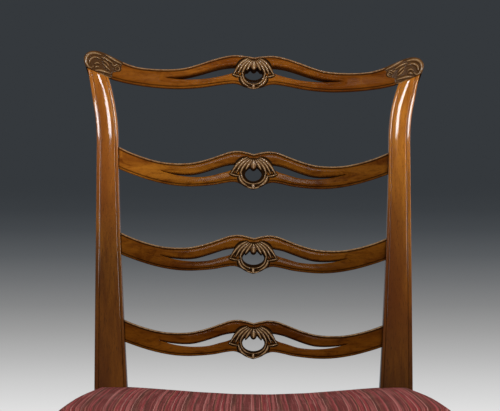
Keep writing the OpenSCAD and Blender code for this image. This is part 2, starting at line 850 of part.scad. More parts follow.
// The right-hand post, in a back whose rails fall towards it by an angle
module rear_post(fall) {
    color(mahogany)
        placed() {
            difference() {
                post_blank();
                askew(crest_joint, fall)
                    translate([0, -big / 2, crest_joint])
                        cube(big);
                for (z = [upper_slat_z, middle_slat_z, lower_slat_z])
                    askew(z, fall)
                        slat_tenons(z, fit_gap);
                side_rail_tenons(fit_gap);
                rear_rail_tenons(fit_gap);
                side_stretcher_tenons(fit_gap);
                rear_stretcher_tenons(fit_gap);
                pegs(fit_gap);
            }
            crest_tenon(0);
        }
}

module right_rear_post() {
    rear_post(rail_fall);
}

module left_rear_post() {
    mirror([1, 0, 0])
        rear_post(-rail_fall);
}

module crest_rail() {
    color(mahogany)
        placed()
            difference() {
                askew(crest_joint, rail_fall)
                    pierced_rail(crest_joint, 0, crest_t, crest_top, crest_bottom, crest_slot, crest_eye_z,
                            crest_half, crest_tenon_x) {
                        fan_and_ring(crest_eye_z);
                        ear_leaves();
                    }
                both_sides()
                    crest_tenon(fit_gap);
            }
}

module upper_slat() {
    placed()
        slat(upper_slat_z);
}

module middle_slat() {
    placed()
        slat(middle_slat_z);
}

module lower_slat() {
    placed()
        slat(lower_slat_z);
}

// Section of a front leg with its outer front corner rounded; the lower part is moulded and chamfered
leg_reeds = [5, 10];
module leg_section(moulded) {
    x = leg_out - leg;
    difference() {
        union() {
            translate([x, leg_front])
                square([leg - seat_corner_r, leg]);
            translate([x, leg_front + seat_corner_r])
                square([leg, leg - seat_corner_r]);
            translate([leg_out - seat_corner_r, leg_front + seat_corner_r])
                circle(r = seat_corner_r);
        }
        if (moulded) {
            for (d = leg_reeds)
                translate([x + d, leg_front])
                    circle(r = leg_quirk);
            for (d = leg_reeds)
                translate([leg_out, leg_back - d])
                    circle(r = leg_quirk);
            translate([leg_out - seat_corner_r, leg_front])
                circle(r = leg_quirk);
            translate([leg_out, leg_front + seat_corner_r])
                circle(r = leg_quirk);
            translate([x, leg_back])
                rotate(45)
                    square(leg_chamfer * sqrt(2), center = true);
        }
    }
}

module right_front_leg() {
    color(mahogany)
        placed()
            difference() {
                union() {
                    linear_extrude(rail_low)
                        leg_section(true);
                    translate([0, 0, rail_low])
                        linear_extrude(rail_h)
                            leg_section(false);
                }
                front_rail_tenons(fit_gap);
                side_rail_tenons(fit_gap);
                side_stretcher_tenons(fit_gap);
                pegs(fit_gap);
            }
}

module left_front_leg() {
    mirror([1, 0, 0])
        right_front_leg();
}

module all_tack_holes() {
    tacks_up(concat(lengthwise_tacks, crosswise_tacks), rail_top + web_t, fit_gap);
    tacks_down(cover_tack_points, rail_low, fit_gap);
    tacks_down(lining_tack_points, rail_low, fit_gap);
}

module both_sides() {
    children();
    mirror([1, 0, 0])
        children();
}

module cross_rail(half, y) {
    translate([-half, y, rail_low])
        cube([2 * half, rail_t, rail_h]);
}

module front_seat_rail() {
    color(beech)
        placed()
            difference() {
                union() {
                    cross_rail(leg_out - leg, leg_front);
                    both_sides()
                        front_rail_tenons(0);
                }
                both_sides() {
                    pegs(fit_gap);
                    block_screws(fit_gap, false);
                }
                all_tack_holes();
            }
}

module rear_seat_rail() {
    color(beech)
        placed()
            difference() {
                union() {
                    cross_rail(back_half - post_w, rear_rail_y);
                    both_sides()
                        rear_rail_tenons(0);
                }
                both_sides() {
                    pegs(fit_gap);
                    block_screws(fit_gap, false);
                }
                all_tack_holes();
            }
}

module right_seat_rail() {
    color(beech)
        placed()
            difference() {
                union() {
                    translate([0, 0, rail_low])
                        linear_extrude(rail_h)
                            side_rail_plan(0, leg_back, 0);
                    side_rail_tenons(0);
                }
                pegs(fit_gap);
                block_screws(fit_gap, false);
                all_tack_holes();
            }
}

module left_seat_rail() {
    mirror([1, 0, 0])
        right_seat_rail();
}

module right_stretcher() {
    y_low = post_front(side_stretcher_z);
    y_high = post_front(side_stretcher_z + stretcher_h);
    angle = atan((stretcher_front_x - stretcher_rear_x) / (stretcher_rear_y - leg_back));
    color(mahogany)
        placed()
            difference() {
                union() {
                    intersection() {
                        translate([stretcher_x(0), 0, side_stretcher_z])
                            rotate([90, 0, angle])
                                linear_extrude(big * 2, center = true)
                                    stretcher_section();
                        rotate([90, 0, 90])
                            linear_extrude(big)
                                polygon([
                                    [leg_back, side_stretcher_z], [y_low, side_stretcher_z],
                                    [y_high, side_stretcher_z + stretcher_h],
                                    [leg_back, side_stretcher_z + stretcher_h]
                                ]);
                    }
                    side_stretcher_tenons(0);
                }
                cross_stretcher_tenons(fit_gap);
            }
}

module left_stretcher() {
    mirror([1, 0, 0])
        right_stretcher();
}

module cross_stretcher() {
    half = stretcher_x(cross_y) - stretcher_t / 2 - fit_gap;
    color(mahogany)
        placed() {
            translate([0, cross_y, side_stretcher_z])
                rotate([90, 0, 90])
                    linear_extrude(2 * half - cross_trim, center = true)
                        stretcher_section();
            both_sides()
                cross_stretcher_tenons(0);
        }
}

module rear_stretcher() {
    z_low = rear_stretcher_z;
    z_high = rear_stretcher_z + stretcher_h;
    color(mahogany)
        placed() {
            intersection() {
                translate([0, rear_stretcher_y, z_low])
                    rotate([90, 0, 90])
                        linear_extrude(big, center = true)
                            stretcher_section();
                rotate([90, 0, 0])
                    linear_extrude(big, center = true)
                        polygon([
                            [-post_inner(z_low), z_low], [post_inner(z_low), z_low],
                            [post_inner(z_high), z_high], [-post_inner(z_high), z_high]
                        ]);
            }
            both_sides()
                rear_stretcher_tenons(0);
        }
}

module front_corner_blocks() {
    x = leg_out - leg - fit_gap;
    y = leg_front + rail_t;
    color(beech)
        placed()
            both_sides()
                difference() {
                    translate([0, 0, block_z])
                        linear_extrude(block_h)
                            polygon([
                                [x - block_l, y], [x, y], [x, leg_back + fit_gap],
                                [side_in(leg_back), leg_back + fit_gap],
                                [side_in(leg_back + block_l), leg_back + block_l]
                            ]);
                    block_screws(fit_gap, true);
                }
}

module rear_corner_blocks() {
    x = back_half - post_w - fit_gap;
    color(beech)
        placed()
            both_sides()
                difference() {
                    translate([0, 0, block_z])
                        linear_extrude(block_h)
                            polygon([
                                [side_in(-block_l), -block_l], [side_in(-fit_gap), -fit_gap],
                                [x, -fit_gap], [x, rear_rail_y], [x - block_l, rear_rail_y]
                            ]);
                    block_screws(fit_gap, true);
                }
}

module corner_block_screws() {
    color(steel)
        placed()
            both_sides()
                block_screws(0, false);
}

module rail_pegs() {
    color(beech)
        placed()
            both_sides()
                pegs(0);
}

module webbing_lengthwise() {
    places = [for (j = [0:web_count - 1]) web_y(j) - web_y_middle];
    color(jute)
        placed()
            difference() {
                for (i = [0:web_count - 1])
                    translate([web_x(i), web_y_middle, rail_top])
                        rotate([0, 0, 90])
                            web_strip(web_half_l, places, [for (j = [0:web_count - 1]) lengthwise_over(i, j)]);
                tacks_up(lengthwise_tacks, rail_top + web_t, fit_gap);
            }
}

module webbing_crosswise() {
    places = [for (i = [0:web_count - 1]) web_x(i)];
    color(jute)
        placed()
            difference() {
                for (j = [0:web_count - 1])
                    translate([0, web_y(j), rail_top])
                        web_strip(web_half_w(web_y(j)), places,
                            [for (i = [0:web_count - 1]) !lengthwise_over(i, j)]);
                tacks_up(crosswise_tacks, rail_top + web_t, fit_gap);
            }
}

module webbing_tacks() {
    color(steel)
        placed()
            tacks_up(concat(lengthwise_tacks, crosswise_tacks), rail_top + web_t, 0);
}

module hessian_base() {
    points = [for (p = flat_ring(stack + hessian_inset, 0)) [p[0], p[1]]];
    color(jute)
        placed()
            without_posts(trim_gap)
                translate([0, 0, pad_low - hessian_t])
                    linear_extrude(hessian_t)
                        polygon(points);
}

module stuffing_pad() {
    color(linen)
        placed()
            without_posts(stack)
                loft(concat([flat_ring(stack, pad_low)], upper_rings(stack)), centre_at(pad_low), top_centre(stack));
}

// A layer of cloth from t to t + thick below the cover's face; its inner and outer rings end in low rings
module cloth(t, thick, low_rings) {
    loft(
        concat(reversed(upper_rings(t + thick)), low_rings, upper_rings(t)),
        top_centre(t + thick),
        top_centre(t)
    );
}

module linen_undercover() {
    t = cover_t + layer_gap;
    low = rail_top - undercover_hem;
    color(linen)
        placed()
            without_posts(layer_gap + cover_t + layer_gap)
                cloth(t, undercover_t, [flat_ring(t + undercover_t, low), flat_ring(t, low)]);
}

module seat_cover() {
    hem = [
        flat_ring(cover_t, rail_low), flat_ring(hem_w, rail_low),
        flat_ring(hem_w, cover_low), flat_ring(0, cover_low)
    ];
    color(crimson)
        placed()
            without_posts(layer_gap)
                without_legs(layer_gap)
                    difference() {
                        cloth(0, cover_t, hem);
                        tacks_down(cover_tack_points, cover_low, fit_gap);
                        tacks_down(lining_tack_points, cover_low, fit_gap);
                    }
}

module cover_tacks() {
    color(steel)
        placed()
            tacks_down(cover_tack_points, cover_low, 0);
}

module bottom_lining() {
    color(black)
        placed()
            without_posts(trim_gap)
                difference() {
                    without_legs(trim_gap)
                        translate([0, 0, cover_low - lining_t])
                            linear_extrude(lining_t)
                                polygon([for (p = flat_ring(lining_inset + tack_head_r, 0)) [p[0], p[1]]]);
                    tacks_down(lining_tack_points, cover_low, fit_gap);
                }
}

module lining_tacks() {
    color(steel)
        placed()
            tacks_down(lining_tack_points, cover_low - lining_t, 0);
}

left_rear_post();
right_rear_post();
crest_rail();
upper_slat();
middle_slat();
lower_slat();
left_front_leg();
right_front_leg();
front_seat_rail();
rear_seat_rail();
left_seat_rail();
right_seat_rail();
left_stretcher();
right_stretcher();
cross_stretcher();
rear_stretcher();
front_corner_blocks();
rear_corner_blocks();
corner_block_screws();
rail_pegs();
webbing_lengthwise();
webbing_crosswise();
webbing_tacks();
hessian_base();
stuffing_pad();
linen_undercover();
seat_cover();
cover_tacks();
bottom_lining();
lining_tacks();
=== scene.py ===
import math
import bmesh
import bpy
import numpy as np
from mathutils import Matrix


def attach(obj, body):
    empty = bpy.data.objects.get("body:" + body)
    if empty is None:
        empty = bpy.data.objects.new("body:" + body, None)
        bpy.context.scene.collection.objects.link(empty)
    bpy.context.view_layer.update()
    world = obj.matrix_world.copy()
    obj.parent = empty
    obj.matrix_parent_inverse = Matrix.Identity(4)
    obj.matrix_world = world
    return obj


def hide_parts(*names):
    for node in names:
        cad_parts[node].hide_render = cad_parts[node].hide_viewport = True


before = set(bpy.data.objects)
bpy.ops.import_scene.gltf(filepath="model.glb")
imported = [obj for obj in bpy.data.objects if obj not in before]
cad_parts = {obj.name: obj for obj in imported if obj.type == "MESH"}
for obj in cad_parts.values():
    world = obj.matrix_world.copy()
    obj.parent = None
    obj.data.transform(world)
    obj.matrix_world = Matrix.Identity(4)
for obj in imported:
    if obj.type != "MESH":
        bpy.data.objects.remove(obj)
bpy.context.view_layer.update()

# Lengths are in millimetres until a mesh is made. Y is measured from the front of the rear posts at the seat.
chair = dict(
    # The seat, its rounded edges, its hollow top and how far the stuffing stands out
    shift=156.0, seatW=526.0, seatD=430.0, seatH=441.0, edgeR=16.0, cornerR=14.0,
    dish=19.5, midSag=3.2, sagAt=0.16, sideDrop=0.8, fall=18.0, fallCurve=2.2, sideHold=0.5,
    swellLeft=6.0, swellRight=8.5, swellRun=300.0,
    # The rear posts, their taper, their backward curve and their flare at the top
    backW=478.0, postW=49.0, postTopW=32.5, postFootW=34.0, postD=44.0, postTopD=24.0, postFootD=34.0,
    splay=84.0, lean=55.0, leanCurve=25.0, leanRise=520.0, leanFrom=445.0, flare=16.0, flareRise=96.0,
    footCurve=1.4, taperCurve=1.3,
    # The front legs, the seat rails and the rails of the back
    legW=45.0, railTop=401.0, railLow=333.0, railT=25.0, rearRailY=10.0, crestJoint=916.0, bow=16.0,
    railFall=1.2, slatSet=3.0, slatT=15.0, crestT=22.0, earRise=14.0,
    # The layers of the upholstery
    coverT=1.3, undercoverT=0.8, hessianT=1.0, liningT=0.6, layerGap=0.3, webW=50.0, webT=1.2, webGap=0.1)
c = chair
mm = 0.001
backHalf = c["backW"] / 2
seatHalf = c["seatW"] / 2
stack = c["coverT"] + c["undercoverT"] + 2 * c["layerGap"]  # all the cloth over a seat rail
flareFrom = c["crestJoint"] - c["flareRise"]


def say(stage):
    print("stage:", stage)


def mix(a, b, t):
    return a + (b - a) * t


def ramp(a, b, v):
    t = np.clip((v - a) / (b - a), 0, 1)
    return t * t * (3 - 2 * t)


# The rear post at any height: how it leans back, flares outward and tapers
def backU(z):
    return np.maximum(0, z - c["leanFrom"]) / c["leanRise"]


def postFront(z):
    foot = c["splay"] * (np.clip(c["railLow"] - z, 0, None) / c["railLow"]) ** c["footCurve"]
    return foot + c["lean"] * backU(z) + c["leanCurve"] * backU(z) ** 2


def slopeAt(z):
    return math.atan((c["lean"] + 2 * c["leanCurve"] * backU(z)) / c["leanRise"])


def postOuter(z):
    return backHalf + c["flare"] * (np.maximum(0, z - flareFrom) / c["flareRise"]) ** 2


def postWidth(z):
    upper = 1 - np.clip((z - c["leanFrom"]) / (flareFrom - c["leanFrom"]), 0, 1)
    high = c["postTopW"] + (c["postW"] - c["postTopW"]) * upper ** c["taperCurve"]
    return np.where(z < c["railLow"], mix(c["postFootW"], c["postW"], z / c["railLow"]), high)


def postDepth(z):
    upper = 1 - np.clip((z - c["railTop"]) / (c["crestJoint"] - c["railTop"]), 0, 1)
    high = c["postTopD"] + (c["postD"] - c["postTopD"]) * upper ** 2
    return np.where(z < c["railLow"], mix(c["postFootD"], c["postD"], z / c["railLow"]), high)


def postInner(z):
    return postOuter(z) - postWidth(z)


def smoothCurve(points, steps, closed=False):
    # A curve through the given points, with some steps from each to the next
    p = np.array(points, float)
    n = len(p)
    out = []
    for i in range(n if closed else n - 1):
        a, b, d, e = (p[(i + k) % n] if closed else p[min(max(i + k, 0), n - 1)] for k in (-1, 0, 1, 2))
        for t in np.arange(steps) / steps:
            out.append(0.5 * (2 * b + (d - a) * t + (2 * a - 5 * b + 4 * d - e) * t * t
                              + (3 * b - a - 3 * d + e) * t ** 3))
    if not closed:
        out.append(p[-1])
    return np.array(out)


def inMetres(points):
    at = np.array(points, float) * mm
    at[:, 1] += c["shift"] * mm
    return at.tolist()


def addObject(name, data):
    obj = bpy.data.objects.new(name, data)
    bpy.context.scene.collection.objects.link(obj)
    return obj


def meshObject(name, points, faces, material):
    mesh = bpy.data.meshes.new(name)
    mesh.from_pydata(inMetres(points), [], [list(map(int, f)) for f in faces])
    mesh.update()
    mesh.polygons.foreach_set("use_smooth", [True] * len(mesh.polygons))
    mesh.materials.append(material)
    return addObject(name, mesh)


def seedObject(name, points, aims=None, lines=()):
    # Points, with the way that each one faces, or lines, for a node tree to grow a piece on
    mesh = bpy.data.meshes.new(name)
    mesh.from_pydata(inMetres(points), list(lines), [])
    if aims is not None:
        layer = mesh.attributes.new("aim", "FLOAT_VECTOR", "POINT")
        layer.data.foreach_set("vector", np.array(aims, np.float32).ravel())
    return addObject(name, mesh)


def attribute(obj, name, values):
    layer = obj.data.attributes.new(name, "FLOAT", "POINT")
    layer.data.foreach_set("value", np.asarray(values, np.float32))


def ringFaces(count, size):
    return [(r * size + a, r * size + (a + 1) % size, (r + 1) * size + (a + 1) % size, (r + 1) * size + a)
            for r in range(count - 1) for a in range(size)]


def closedBody(rings, bottomCentre, topCentre):
    # Walls between the rings, closed by a fan of faces at each end
    size = len(rings[0])
    n = len(rings) * size
    points = np.concatenate(list(rings) + [np.array([bottomCentre, topCentre])])
    faces = ringFaces(len(rings), size)
    faces += [(n, (i + 1) % size, i) for i in range(size)]
    faces += [(n + 1, n - size + i, n - size + (i + 1) % size) for i in range(size)]
    return points, faces


def settle(obj):
    # Makes the modifiers' result the piece's own plain mesh
    graph = bpy.context.evaluated_depsgraph_get()
    done = bpy.data.meshes.new_from_object(obj.evaluated_get(graph), preserve_all_data_layers=True,
                                           depsgraph=graph)
    old = obj.data
    obj.modifiers.clear()
    obj.data = done
    name = old.name
    if old.users == 0:
        bpy.data.meshes.remove(old)
    done.name = name
    return obj


def eased(obj, angle=35):
    obj.data.polygons.foreach_set("use_smooth", [True] * len(obj.data.polygons))
    obj.data.set_sharp_from_angle(angle=math.radians(angle))
    return obj


def cutAround(obj, boxes):
    # Takes plain boxes out of a piece, as the posts and legs do of the upholstery
    cutter = bpy.data.meshes.new("cutter")
    maker = bmesh.new()
    for low, high in boxes:
        for v in bmesh.ops.create_cube(maker, size=1.0)["verts"]:
            v.co = [mix(low[k], high[k], v.co[k] + 0.5) * mm + (c["shift"] * mm if k == 1 else 0)
                    for k in range(3)]
    maker.to_mesh(cutter)
    maker.free()
    tool = addObject("cutter", cutter)
    modifier = obj.modifiers.new("cut", "BOOLEAN")
    modifier.operation = "DIFFERENCE"
    modifier.solver = "EXACT"
    modifier.object = tool
    settle(obj)
    bpy.data.objects.remove(tool)
    bpy.data.meshes.remove(cutter)


def keep(piece, slot, *nodes):
    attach(piece, "root")
    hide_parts(*nodes)
    return piece


class Wire:
    # A node's output that takes plain arithmetic
    def __init__(self, owner, socket):
        self.owner = owner
        self.socket = socket

    def join(self, kind, a, b=0.0):
        return self.owner.wire("ShaderNodeMath", {"operation": kind}, {0: a, 1: b})

    def __add__(self, other):
        return self.join("ADD", self, other)

    def __radd__(self, other):
        return self.join("ADD", other, self)

    def __sub__(self, other):
        return self.join("SUBTRACT", self, other)

    def __rsub__(self, other):
        return self.join("SUBTRACT", other, self)

    def __mul__(self, other):
        return self.join("MULTIPLY", self, other)

    def __rmul__(self, other):
        return self.join("MULTIPLY", other, self)

    def __truediv__(self, other):
        return self.join("DIVIDE", self, other)

    def __lt__(self, other):
        return self.join("LESS_THAN", self, other)

    def fract(self):
        return self.join("FRACT", self)

    def waves(self, pitch):
        return self.join("SINE", self * (2 * math.pi / pitch))

    def between(self, low, high):
        return self.owner.wire("ShaderNodeMapRange", {"interpolation_type": "SMOOTHSTEP"},
                               {0: self, 1: low, 2: high})


class Nodes:
    # Every node is made in one way: its type, its settings, then the values or links of its sockets
    def node(self, kind, settings=None, inputs=None):
        made = self.tree.nodes.new(kind)
        for key, value in (settings or {}).items():
            if key == "stops":
                fillRamp(made.color_ramp, *value)
            else:
                setattr(made, key, value)
        for key, value in (inputs or {}).items():
            if isinstance(value, Wire):
                self.tree.links.new(value.socket, made.inputs[key])
            else:
                made.inputs[key].default_value = value
        return made

    def wire(self, kind, settings=None, inputs=None, output=0):
        return Wire(self, self.node(kind, settings, inputs).outputs[output])


def fillRamp(colours, kind, stops):
    colours.interpolation = kind
    for k, (place, colour) in enumerate(stops):
        stop = colours.elements[k] if k < 2 else colours.elements.new(place)
        stop.position = place
        stop.color = colour


class Shade(Nodes):
    # The node tree of a material or a world
    def __init__(self, owner):
        self.owner = owner
        owner.use_nodes = True
        self.tree = owner.node_tree
        self.tree.nodes.clear()

    def place(self):
        spot = self.wire("ShaderNodeTexCoord", output="Object")
        split = self.node("ShaderNodeSeparateXYZ", None, {0: spot})
        return [Wire(self, split.outputs[i]) for i in range(3)]

    def own(self, name):
        return self.wire("ShaderNodeAttribute", {"attribute_name": name}, None, "Fac")

    def noise(self, at, detail=2.0, rough=0.5, distort=0.0):
        return self.wire("ShaderNodeTexNoise", None,
                         {"Vector": self.wire("ShaderNodeCombineXYZ", None, dict(enumerate(at))),
                          "Scale": 1.0, "Detail": detail, "Roughness": rough, "Distortion": distort})

    def blend(self, share, a, b, kind="MIX"):
        return self.wire("ShaderNodeMix", {"data_type": "RGBA", "blend_type": kind},
                         {0: share, 6: a, 7: b}, 2)

    def bump(self, height, strength, distance):
        return self.wire("ShaderNodeBump", None,
                         {"Height": height, "Strength": strength, "Distance": distance})

    def finish(self, **inputs):
        names = {"colour": "Base Color", "rough": "Roughness", "metal": "Metallic", "coat": "Coat Weight",
                 "coatRough": "Coat Roughness", "normal": "Normal", "specular": "Specular IOR Level"}
        surface = self.wire("ShaderNodeBsdfPrincipled", None, {names[k]: v for k, v in inputs.items()})
        self.node("ShaderNodeOutputMaterial", None, {0: surface})
        return self.owner


def newShade(name):
    return Shade(bpy.data.materials.new(name))


def srgb(r, g, b):
    parts = (v / 255 for v in (r, g, b))
    return tuple(v / 12.92 if v <= 10 / 255 else ((v + 0.055) / 1.055) ** 2.4 for v in parts) + (1.0,)


# Light, dark and pore colours of each wood, how often its marks come along and across the grain in a metre,
# and its ageing and painted shade: a painted shade tint, painted shade low down, the carved colour, pale
# crests (partly wear, partly painted highlight) and the dark of painted shade
woods = dict(
    mahogany=(srgb(190, 118, 34), srgb(132, 71, 19), srgb(58, 28, 6)),
    post=(srgb(207, 131, 41), srgb(148, 82, 23), srgb(64, 32, 7)),
    crest=(srgb(164, 98, 28), srgb(116, 60, 16), srgb(52, 24, 5)),
    beech=(srgb(205, 168, 120), srgb(182, 140, 92), srgb(120, 84, 50)),
    peg=(srgb(150, 96, 44), srgb(112, 66, 26), srgb(70, 38, 12)))
figures = dict(broad=(3.0, 22.0), ribbon=(7.0, 130.0), mottle=(38.0, 70.0), pores=(30.0, 900.0),
               crestBreakup=(260.0, 260.0))
ageingAndShade = dict(shadeTint=(0.1, 0.09, 0.07, 1), lowShade=(0.26, 0.22, 0.16, 1), lowShadeFrom=0.56, lowShadeTo=0.82,
              carved=srgb(106, 74, 42), worn=srgb(186, 154, 112), paintedShade=srgb(24, 12, 4))


def woodMaterial(name, grain, tones, rough=0.3, coat=0.6, lowShade=0.0, coatRough=0.06, mottled=0.0,
                 carved=False, shadeToned=False):
    # Wood with its grain along axis 0, 1 or 2, under a clear finish
    light, dark, pore = tones
    s = newShade(name)
    at = s.place()
    z = at[2]
    along = at.pop(grain)
    first, second = at

    def figure(kind, *rest):
        length, width = figures[kind]
        return s.noise((along * length, first * width, second * width), *rest)

    broad = figure("broad", 3.0, 0.55, 0.4)
    ribbon = figure("ribbon", 3.0, 0.6, 0.6)
    mottle = figure("mottle", 3.0, 0.6, 0.8)
    pores = figure("pores", 2.0, 0.6).between(0.56, 0.7)
    colour = s.blend(broad.between(0.3, 0.7), dark, light)
    colour = s.blend(ribbon.between(0.42, 0.72) * 0.55, colour, dark)
    colour = s.blend(mottle.between(0.5, 0.68) * mottled, colour, dark, "MULTIPLY")
    colour = s.blend((1 - mottle.between(0.3, 0.46)) * mottled, colour, light)
    colour = s.blend(pores * 0.5, colour, pore)
    # Painted shade: the tone attribute darkens the wood where less light falls on it
    if shadeToned:
        colour = s.blend(s.own("tone"), colour, ageingAndShade["shadeTint"], "MULTIPLY")
    # Painted shade: the wood is drawn darker towards the bottom, where less light falls
    if lowShade:
        shadedLow = 1 - z.between(ageingAndShade["lowShadeFrom"], ageingAndShade["lowShadeTo"])
        colour = s.blend(shadedLow * lowShade, colour, ageingAndShade["lowShade"], "MULTIPLY")
    roughness = rough + 0.12 * pores + 0.08 * broad
    gloss = coat - 0.25 * coat * broad
    if carved:
        mask, hollow, crest = s.own("carved"), s.own("hollow"), s.own("crest")
        crestBreakup = figure("crestBreakup", 3.0, 0.6)
        colour = s.blend(mask * 0.8, colour, ageingAndShade["carved"])
        # Pale carved crests and top bead: partly wear, partly a painted highlight
        colour = s.blend(crest * (0.35 + 0.65 * crestBreakup.between(0.35, 0.6)) * 0.9, colour, ageingAndShade["worn"])
        # Painted shade in the carved hollows, the sunk line, by the posts and along the edges
        colour = s.blend(hollow, colour, ageingAndShade["paintedShade"])
        roughness = roughness + 0.1 * mask
        gloss = (gloss + 0.25 * mask + 0.35 * crest) * (1 - hollow)
    return s.finish(colour=colour, rough=roughness, coat=gloss, coatRough=coatRough, specular=0.0,
                    normal=s.bump(0.6 * ribbon - pores, 0.12, 0.0004))


say("materials")
mahoganyUp = woodMaterial("mahoganyUp", 2, woods["post"], coat=0.75, lowShade=0.95, shadeToned=True)
mahoganyAcross = woodMaterial("mahoganyAcross", 0, woods["mahogany"], coat=0.06, coatRough=0.14, mottled=0.5,
                              lowShade=0.95, carved=True, shadeToned=True)
mahoganyCrest = woodMaterial("mahoganyCrest", 0, woods["crest"], coat=0.02, coatRough=0.1, mottled=0.35,
                             carved=True, shadeToned=True)
mahoganyDeep = woodMaterial("mahoganyDeep", 1, woods["mahogany"], lowShade=0.8)
mahoganyLegs = woodMaterial("mahoganyLegs", 2, woods["post"], lowShade=0.8)
mahoganyBars = woodMaterial("mahoganyBars", 0, woods["mahogany"], lowShade=0.8)
pegWood = woodMaterial("pegWood", 0, woods["peg"], rough=0.4, coat=0.2)
beechAcross = woodMaterial("beechAcross", 0, woods["beech"], rough=0.5, coat=0.0)
beechDeep = woodMaterial("beechDeep", 1, woods["beech"], rough=0.5, coat=0.0)

postShape = dict(outerRim=5.2, innerRim=3.4, rimTilt=0.36, rimCrown=0.05, quirk=1.6, quirkDepth=1.6,
                 crown=1.05, crownSet=0.5, edgeRound=1.0, frontSet=1.4, sideFrom=3.0, backRound=5.0,
                 mouldFrom=425.0, mouldRise=22.0, plainTo=400.0, plainRings=50, rings=200, twistRise=60.0)
# Painted shade up each post, as heights and shares: darker where less light falls
postShades = {1: [(458, 0.62), (519, 0.33), (580, 0.0), (640, 0.22), (700, 0.4), (760, 0.36), (850, 0.12)],
             -1: [(458, 0.22), (580, 0.33), (640, 0.5), (700, 0.33), (760, 0.16), (830, 0.08), (900, 0.0)]}


def postHalf(w, m, rim, tilt):
    # The front from an edge to the middle: rounded arris, flat rim, quirk and half of the crowned field
    p = postShape
    half = w / 2
    front = p["frontSet"]
    field = half - rim - p["quirk"]
    side = [(half, p["sideFrom"])]
    for a in np.linspace(0, math.pi / 2, 5):
        side.append((half - p["edgeRound"] * (1 - math.cos(a)), front - front * math.sin(a) * m))
    flatRim = rim - p["edgeRound"]
    for t in np.linspace(0, 1, 6)[1:]:
        lift = p["rimCrown"] * 4 * t * (1 - t) - tilt * t
        side.append((half - p["edgeRound"] - flatRim * t, front - (front + lift) * m))
    for t in (0.35, 0.65):
        side.append((half - rim - t * p["quirk"], p["quirkDepth"] * m))
    for t in np.linspace(0, 1, 17):
        side.append((field * (1 - t), (p["crownSet"] - p["crown"] * (1 - (1 - t) ** 2)) * m))
    return np.array(side)


def postSection(w, d, m):
    # Outline of a post w wide and d deep, its front moulded by the share m
    p = postShape
    inner = postHalf(w, m, p["innerRim"], -p["rimTilt"] * p["innerRim"] / p["outerRim"]) * (-1, 1)
    outer = postHalf(w, m, p["outerRim"], p["rimTilt"])
    r = p["backRound"]
    corner = np.array([(w / 2 - r + r * math.cos(a), d - r + r * math.sin(a))
                       for a in np.linspace(0, math.pi / 2, 6)])
    return np.concatenate([inner[:-1], outer[::-1], corner, corner[::-1] * (-1, 1)])


def buildPost(name, side, material):
    p = postShape
    zs = np.concatenate([np.linspace(0, p["plainTo"], p["plainRings"])[:-1],
                         np.linspace(p["plainTo"], c["crestJoint"], p["rings"])])
    fall = math.tan(math.radians(c["railFall"]))
    rings = []
    for z in zs:
        m = float(np.clip((z - p["mouldFrom"]) / p["mouldRise"], 0, 1))
        w, d = float(postWidth(z)), float(postDepth(z))
        section = postSection(w, d, m)
        x = side * (float(postOuter(z)) - w / 2 + section[:, 0])
        reach = float(ramp(c["crestJoint"] - p["twistRise"], c["crestJoint"], z))
        across = np.clip(section[:, 0] / w + 0.5, 0, 1)
        rings.append(np.stack([x, float(postFront(z)) + section[:, 1],
                               z - reach * x * fall + reach ** 3 * c["earRise"] * across], axis=1))
    points, faces = closedBody(rings, rings[0].mean(0), rings[-1].mean(0))
    if side < 0:
        faces = [f[::-1] for f in faces]
    obj = meshObject(name, points, faces, material)
    # Painted shade up the post
    attribute(obj, "tone", np.interp(points[:, 2], *zip(*postShades[side])))
    return obj


say("posts")
for side, node in ((1, "right_rear_post"), (-1, "left_rear_post")):
    keep(buildPost("moulded_" + node, side, mahoganyUp), "mahogany", node)

# Half outlines and slots of the rails, as shares of the half width and heights from the rail's own level
slatTop = [(0, 16.8), (0.045, 19.6), (0.095, 21.4), (0.15, 20), (0.21, 15), (0.275, 9.2), (0.34, 4.4),
           (0.41, 0.9), (0.49, 0), (0.57, 1), (0.65, 4.7), (0.73, 10.2), (0.81, 17.4), (0.89, 26.5)]
slatBottom = [(0.89, -7.6), (0.81, -15), (0.73, -21.6), (0.65, -27.2), (0.57, -31.4), (0.49, -34),
              (0.41, -34.7), (0.33, -33.6), (0.25, -31.4), (0.19, -28.4), (0.14, -26.4), (0.11, -26.6),
              (0.08, -29.2), (0.045, -34), (0, -37.5)]
slatSlot = [(0.592, -11.8), (0.52, -14.2), (0.455, -15.4), (0.39, -14.8), (0.33, -11.6), (0.25, -5.2),
            (0.195, -0.6), (0.15, 1.8), (0.11, 2.8), (0.097, 1.2), (0.11, -2.6), (0.135, -7),
            (0.165, -10.6), (0.21, -13.6), (0.28, -18.4), (0.35, -20.2), (0.42, -20), (0.5, -17.6)]
crestTop = [(0, 37.4), (0.045, 39.2), (0.1, 40.5), (0.15, 39.3), (0.21, 35.3), (0.27, 30.2), (0.34, 23.6),
            (0.41, 18.3), (0.48, 16), (0.56, 15.5), (0.64, 16.4), (0.7, 18.8), (0.76, 23.8), (0.82, 31),
            (0.875, 37.6), (0.925, 41.2), (0.965, 40.4), (0.99, 35.5), (1, 28), (0.985, 14), (0.966, 0)]
crestBottom = [(0.852, 0), (0.82, -2.8), (0.75, -7), (0.68, -9.8), (0.61, -11.9), (0.54, -13.2),
               (0.46, -13.8), (0.38, -12.8), (0.3, -10.5), (0.23, -7.2), (0.17, -4.6), (0.12, -3.2),
               (0.085, -4.6), (0.05, -8.2), (0, -11.4)]
crestSlot = [(0.52, 2.7), (0.46, 4.6), (0.4, 7), (0.33, 11.8), (0.26, 17.6), (0.2, 22.2), (0.15, 24.6),
             (0.105, 25.2), (0.087, 22.8), (0.096, 17.6), (0.12, 13), (0.165, 9), (0.22, 5.4), (0.28, 2.6),
             (0.35, 0.8), (0.43, 0.6)]
